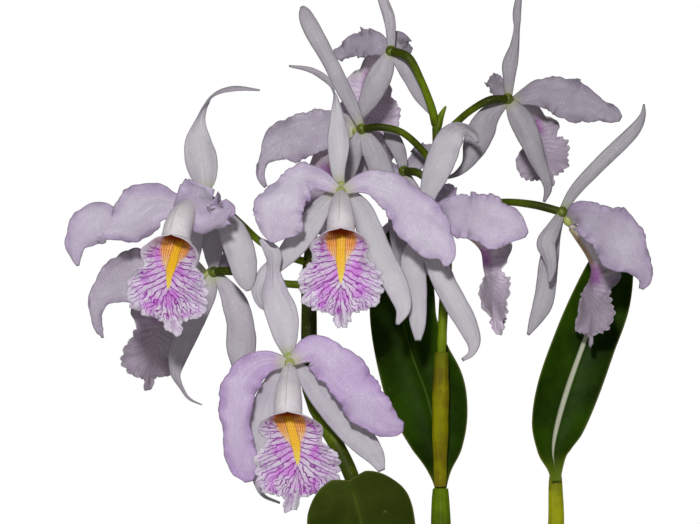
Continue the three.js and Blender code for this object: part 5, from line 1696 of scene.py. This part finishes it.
def chips_part(settings, rng):
    """Bark chips lying on the bed.

    Every chip is the same small rounded slab of few faces, stretched, knocked out of true point
    by point, turned every way and set down at its own place: all as whole arrays.
    """
    count = settings.chips
    lattice = np.array([[x, y, z] for z in (-1, 1) for y in (-1, 0, 1) for x in (-1, 0, 1)], float)
    lattice[:, :2] *= 1 - 0.25 * (np.abs(lattice[:, :1]) * np.abs(lattice[:, 1:2]))
    quads = []
    for level, flip in ((0, True), (9, False)):
        for j in range(2):
            for i in range(2):
                a = level + 3 * j + i
                quad = [a, a + 1, a + 4, a + 3]
                quads.append(quad[::-1] if flip else quad)
    loop = [0, 1, 2, 5, 8, 7, 6, 3]
    quads += [[a, b, b + 9, a + 9] for a, b in zip(loop, loop[1:] + loop[:1])]
    quads = np.array(quads)
    shape = lattice[None] + rng.normal(0, CHIP_KNOCK, (count, CHIP_POINTS, 3))
    size = np.stack([rng.uniform(*limits, count) for limits in CHIP_SIZES], 1)
    shape = shape * size[:, None]
    yaw = rng.uniform(0, 2 * math.pi, count)
    tip = rng.normal(0, CHIP_LEAN, count)
    roll = rng.normal(0, CHIP_LEAN, count)
    turn = np.zeros((count, 3, 3))
    cy, cp, cr = np.cos([yaw, tip, roll])
    sy, sp, sr = np.sin([yaw, tip, roll])
    turn[:, 0] = np.stack([cy * cp, cy * sp * sr - sy * cr, cy * sp * cr + sy * sr], 1)
    turn[:, 1] = np.stack([sy * cp, sy * sp * sr + cy * cr, sy * sp * cr - cy * sr], 1)
    turn[:, 2] = np.stack([-sp, cp * sr, cp * cr], 1)
    shape = np.einsum("nij,nkj->nki", turn, shape)
    share = np.sqrt(rng.uniform(0, 0.93, count))
    angle = rng.uniform(0, 2 * math.pi, count)
    radius = (pot_inside(settings, settings.bark_edge) - 0.006) * share
    spot = np.stack([radius * np.cos(angle), radius * np.sin(angle),
                     bark_height(settings, share) + rng.uniform(0.0, CHIP_LIFT, count)], 1)
    points = (shape + spot[:, None]).reshape(-1, 3)
    faces = (quads[None] + CHIP_POINTS * np.arange(count)[:, None, None]).reshape(-1, 4)
    finish = np.zeros((len(points), 3))
    finish[:, 0] = np.repeat(rng.uniform(0, 1, count), CHIP_POINTS)
    return {"points": points, "faces": faces, "chart": np.zeros((len(points), 3)),
            "finish": finish}


class ORCHID_OT_bark(bpy.types.Operator):
    """The bed of potting bark, with loose chips on top"""

    bl_idname = "orchid.bark"
    bl_label = "Bark"

    def execute(self, context):
        settings = context.scene.orchid_pot
        rng = np.random.default_rng(CHIP_SEED)
        edge = pot_inside(settings, settings.bark_edge) - WALL_GAP
        low = pot_inside(settings, settings.floor) - WALL_GAP
        wall = np.linspace(0, 1, 14)
        crown = np.linspace(1, 0.02, 44)
        profile = [(low + (edge - low) * s, settings.floor + 0.0004
                    + (settings.bark_edge - settings.floor) * s) for s in wall]
        profile += [(edge * s, bark_height(settings, s)) for s in crown[1:]]
        bed = turned(profile, BARK_SIDES)
        x, y, z = bed["points"].T
        rough = 0.0014 * (np.sin(310 * x) * np.cos(270 * y) + 0.5 * np.sin(700 * x + 530 * y))
        bed["points"][:, 2] += rough * (z > settings.bark_edge + 0.0002)
        bed["finish"][:, 0] = 0.8
        parts = [outward(bed), chips_part(settings, rng)]
        piece = make_piece("bark_bed", parts, [bark_paint("bark")])
        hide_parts("bark")
        return {"FINISHED"}


def pot_profile(settings):
    """The pot's section as radius and height, from the middle of its floor up the inside, over
    the rounded rim, round the rim band and down the outside to the middle of its base."""
    height, top, low = settings.height, settings.top_radius, settings.floor
    foot, lip, band = settings.base_radius, RIM_ROUND, settings.height - settings.rim_height
    shoulder = top - settings.rim_step
    bead = np.linspace(0, math.pi / 2, 7)
    mouth = pot_inside(settings, height)
    line = [(pot_inside(settings, low) * s, low) for s in (0.1, 0.6, 0.97)]
    line += [(pot_inside(settings, z), z) for z in np.linspace(low + 0.002, height - lip, 24)]
    line += [(mouth + lip * (1 - math.cos(a)), height - lip + lip * math.sin(a)) for a in bead[1:]]
    line += [(top - lip + lip * math.sin(a), height - lip + lip * math.cos(a)) for a in bead]
    line += [(top, z) for z in np.linspace(height - 0.004, band + lip, 8)]
    line += [(top - lip + lip * math.cos(a), band + lip - lip * math.sin(a)) for a in bead]
    line += [(shoulder, band - 0.0004)]
    line += [(foot + (shoulder - foot) * s, band * s) for s in np.linspace(1, 0, 30)[1:-1]]
    line += [(foot - 0.0006, 0.0)]
    return line + [(foot * s, 0.0) for s in (0.9, 0.6, 0.1)]


def drill(context, piece, x, y, radius):
    """Cuts a round upright hole through the pot's floor."""
    ends = [[x, y, z, radius, 0] for z in (-0.004, 0.003, 0.012)]
    part = outward(tube(ends, *DRILL_GRID))
    cutter = add_object("drain_cutter", plain_mesh("drain cutter", part["points"], part["faces"]))
    cut = piece.modifiers.new("drain", "BOOLEAN")
    cut.operation = "DIFFERENCE"
    cut.solver = "EXACT"
    cut.object = cutter
    graph = context.evaluated_depsgraph_get()
    result = bpy.data.meshes.new_from_object(piece.evaluated_get(graph))
    piece.modifiers.clear()
    piece.data = result
    bpy.data.objects.remove(cutter)


class ORCHID_OT_pot(bpy.types.Operator):
    """The clay pot, with its rim band and drain holes"""

    bl_idname = "orchid.pot"
    bl_label = "Pot"

    def execute(self, context):
        settings = context.scene.orchid_pot
        clay = outward(turned(pot_profile(settings), POT_SIDES))
        piece = make_piece("clay_pot", [clay], [clay_paint("clay", settings.clay_colour[:])])
        for k in range(DRAIN_HOLES):
            turn = 2 * math.pi * (k + 0.5) / DRAIN_HOLES
            away = settings.drain_circle
            drill(context, piece, away * math.cos(turn), away * math.sin(turn),
                  settings.drain_radius)
        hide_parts("pot")
        return {"FINISHED"}


# The lights: name, place, size, and power as a share of the key light's.
LIGHTS = (
    ("key light", (-0.20, -1.85, 1.05), 0.2, 1.0),
    ("fill light", (1.1, -1.5, 0.7), 1.0, 0.035),
    ("back light", (0.2, 1.6, 1.3), 1.2, 0.5),
)
LIGHT_TARGET = Vector((-0.063, 0.0, 0.40))


def add_light(name, spot, size, power):
    """A round soft light that looks at the plant."""
    data = bpy.data.lights.new(name, "AREA")
    data.shape = "DISK"
    data.size = size
    data.energy = power
    light = add_object(name, data)
    light.location = spot
    way = LIGHT_TARGET - light.location
    light.rotation_euler = way.to_track_quat("-Z", "Y").to_euler()


def studio_world(ambient):
    """A faint cool light from all round, behind which the camera sees plain white."""
    world = bpy.data.worlds.new("studio")
    world.use_nodes = True
    nodes, links = world.node_tree.nodes, world.node_tree.links
    nodes.clear()
    mix = nodes.new("ShaderNodeMixShader")
    links.new(nodes.new("ShaderNodeLightPath").outputs["Is Camera Ray"], mix.inputs[0])
    for number, colour, strength in ((1, (0.93, 0.93, 1.0, 1), ambient), (2, (1, 1, 1, 1), 1.0)):
        glow = nodes.new("ShaderNodeBackground")
        glow.inputs["Color"].default_value = colour
        glow.inputs["Strength"].default_value = strength
        links.new(glow.outputs[0], mix.inputs[number])
    links.new(mix.outputs[0], nodes.new("ShaderNodeOutputWorld").inputs["Surface"])
    return world


class ORCHID_OT_stage(bpy.types.Operator):
    """Pale floor, studio light and camera"""

    bl_idname = "orchid.stage"
    bl_label = "Stage"

    def execute(self, context):
        scene = context.scene
        settings = scene.orchid_stage
        turn = 2 * math.pi * np.arange(FLOOR_SIDES) / FLOOR_SIDES
        rim = np.stack([settings.floor_radius * np.cos(turn), settings.floor_radius * np.sin(turn),
                        np.full(FLOOR_SIDES, -FLOOR_DROP)], 1)
        mesh = bpy.data.meshes.new("studio_floor")
        mesh.from_pydata(rim.tolist(), [], [list(range(FLOOR_SIDES))])
        mesh.materials.append(floor_paint("studio floor"))
        floor = add_object("studio_floor", mesh)

        for name, spot, size, share in LIGHTS:
            add_light(name, spot, size, settings.key_power * share)
        scene.world = studio_world(settings.ambient)
        scene.view_settings.view_transform = "Standard"

        data = bpy.data.cameras.new("front view")
        data.sensor_fit = "HORIZONTAL"
        data.lens = data.sensor_width * EYE / settings.view_width
        data.clip_start, data.clip_end = 0.05, 50
        camera = add_object("front view", data)
        camera.location = ((EYE_X - AXIS_X) * GRID, -EYE, TOP_Z - EYE_Y * GRID)
        camera.rotation_euler = (math.pi / 2, 0, 0)
        scene.camera = camera
        return {"FINISHED"}


OPERATORS = (
    ORCHID_OT_sepals, ORCHID_OT_petals, ORCHID_OT_lips, ORCHID_OT_flower_stems, ORCHID_OT_sheath,
    ORCHID_OT_leaves, ORCHID_OT_pseudobulbs, ORCHID_OT_bark, ORCHID_OT_pot, ORCHID_OT_stage,
)


class ORCHID_PT_parts(bpy.types.Panel):
    """Builds the orchid piece by piece"""

    bl_label = "Cattleya Orchid"
    bl_idname = "ORCHID_PT_parts"
    bl_space_type = "VIEW_3D"
    bl_region_type = "UI"
    bl_category = "Orchid"

    def draw(self, context):
        for operator in OPERATORS:
            self.layout.operator(operator.bl_idname)
        for label, settings in (
                ("Blooms", context.scene.orchid_blooms), ("Greens", context.scene.orchid_greens),
                ("Pot", context.scene.orchid_pot), ("Stage", context.scene.orchid_stage)):
            box = self.layout.box()
            box.label(text=label)
            for key in settings.__annotations__:
                box.prop(settings, key)


SETTINGS = {
    "orchid_blooms": BloomSettings, "orchid_greens": GreenSettings, "orchid_pot": PotSettings,
    "orchid_stage": StageSettings,
}


def register():
    """Adds the settings, operators and panel to Blender."""
    for name, group in SETTINGS.items():
        bpy.utils.register_class(group)
        setattr(bpy.types.Scene, name, bpy.props.PointerProperty(type=group))
    for operator in OPERATORS:
        bpy.utils.register_class(operator)
    bpy.utils.register_class(ORCHID_PT_parts)


def unregister():
    """Takes them out again."""
    bpy.utils.unregister_class(ORCHID_PT_parts)
    for operator in reversed(OPERATORS):
        bpy.utils.unregister_class(operator)
    for name, group in SETTINGS.items():
        delattr(bpy.types.Scene, name)
        bpy.utils.unregister_class(group)


def main():
    """Builds every piece."""
    register()
    for operator in OPERATORS:
        area, name = operator.bl_idname.split(".")
        if getattr(getattr(bpy.ops, area), name)() != {"FINISHED"}:
            raise RuntimeError(f"{operator.bl_label} did not finish")
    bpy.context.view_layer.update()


if __name__ == "__main__":
    main()
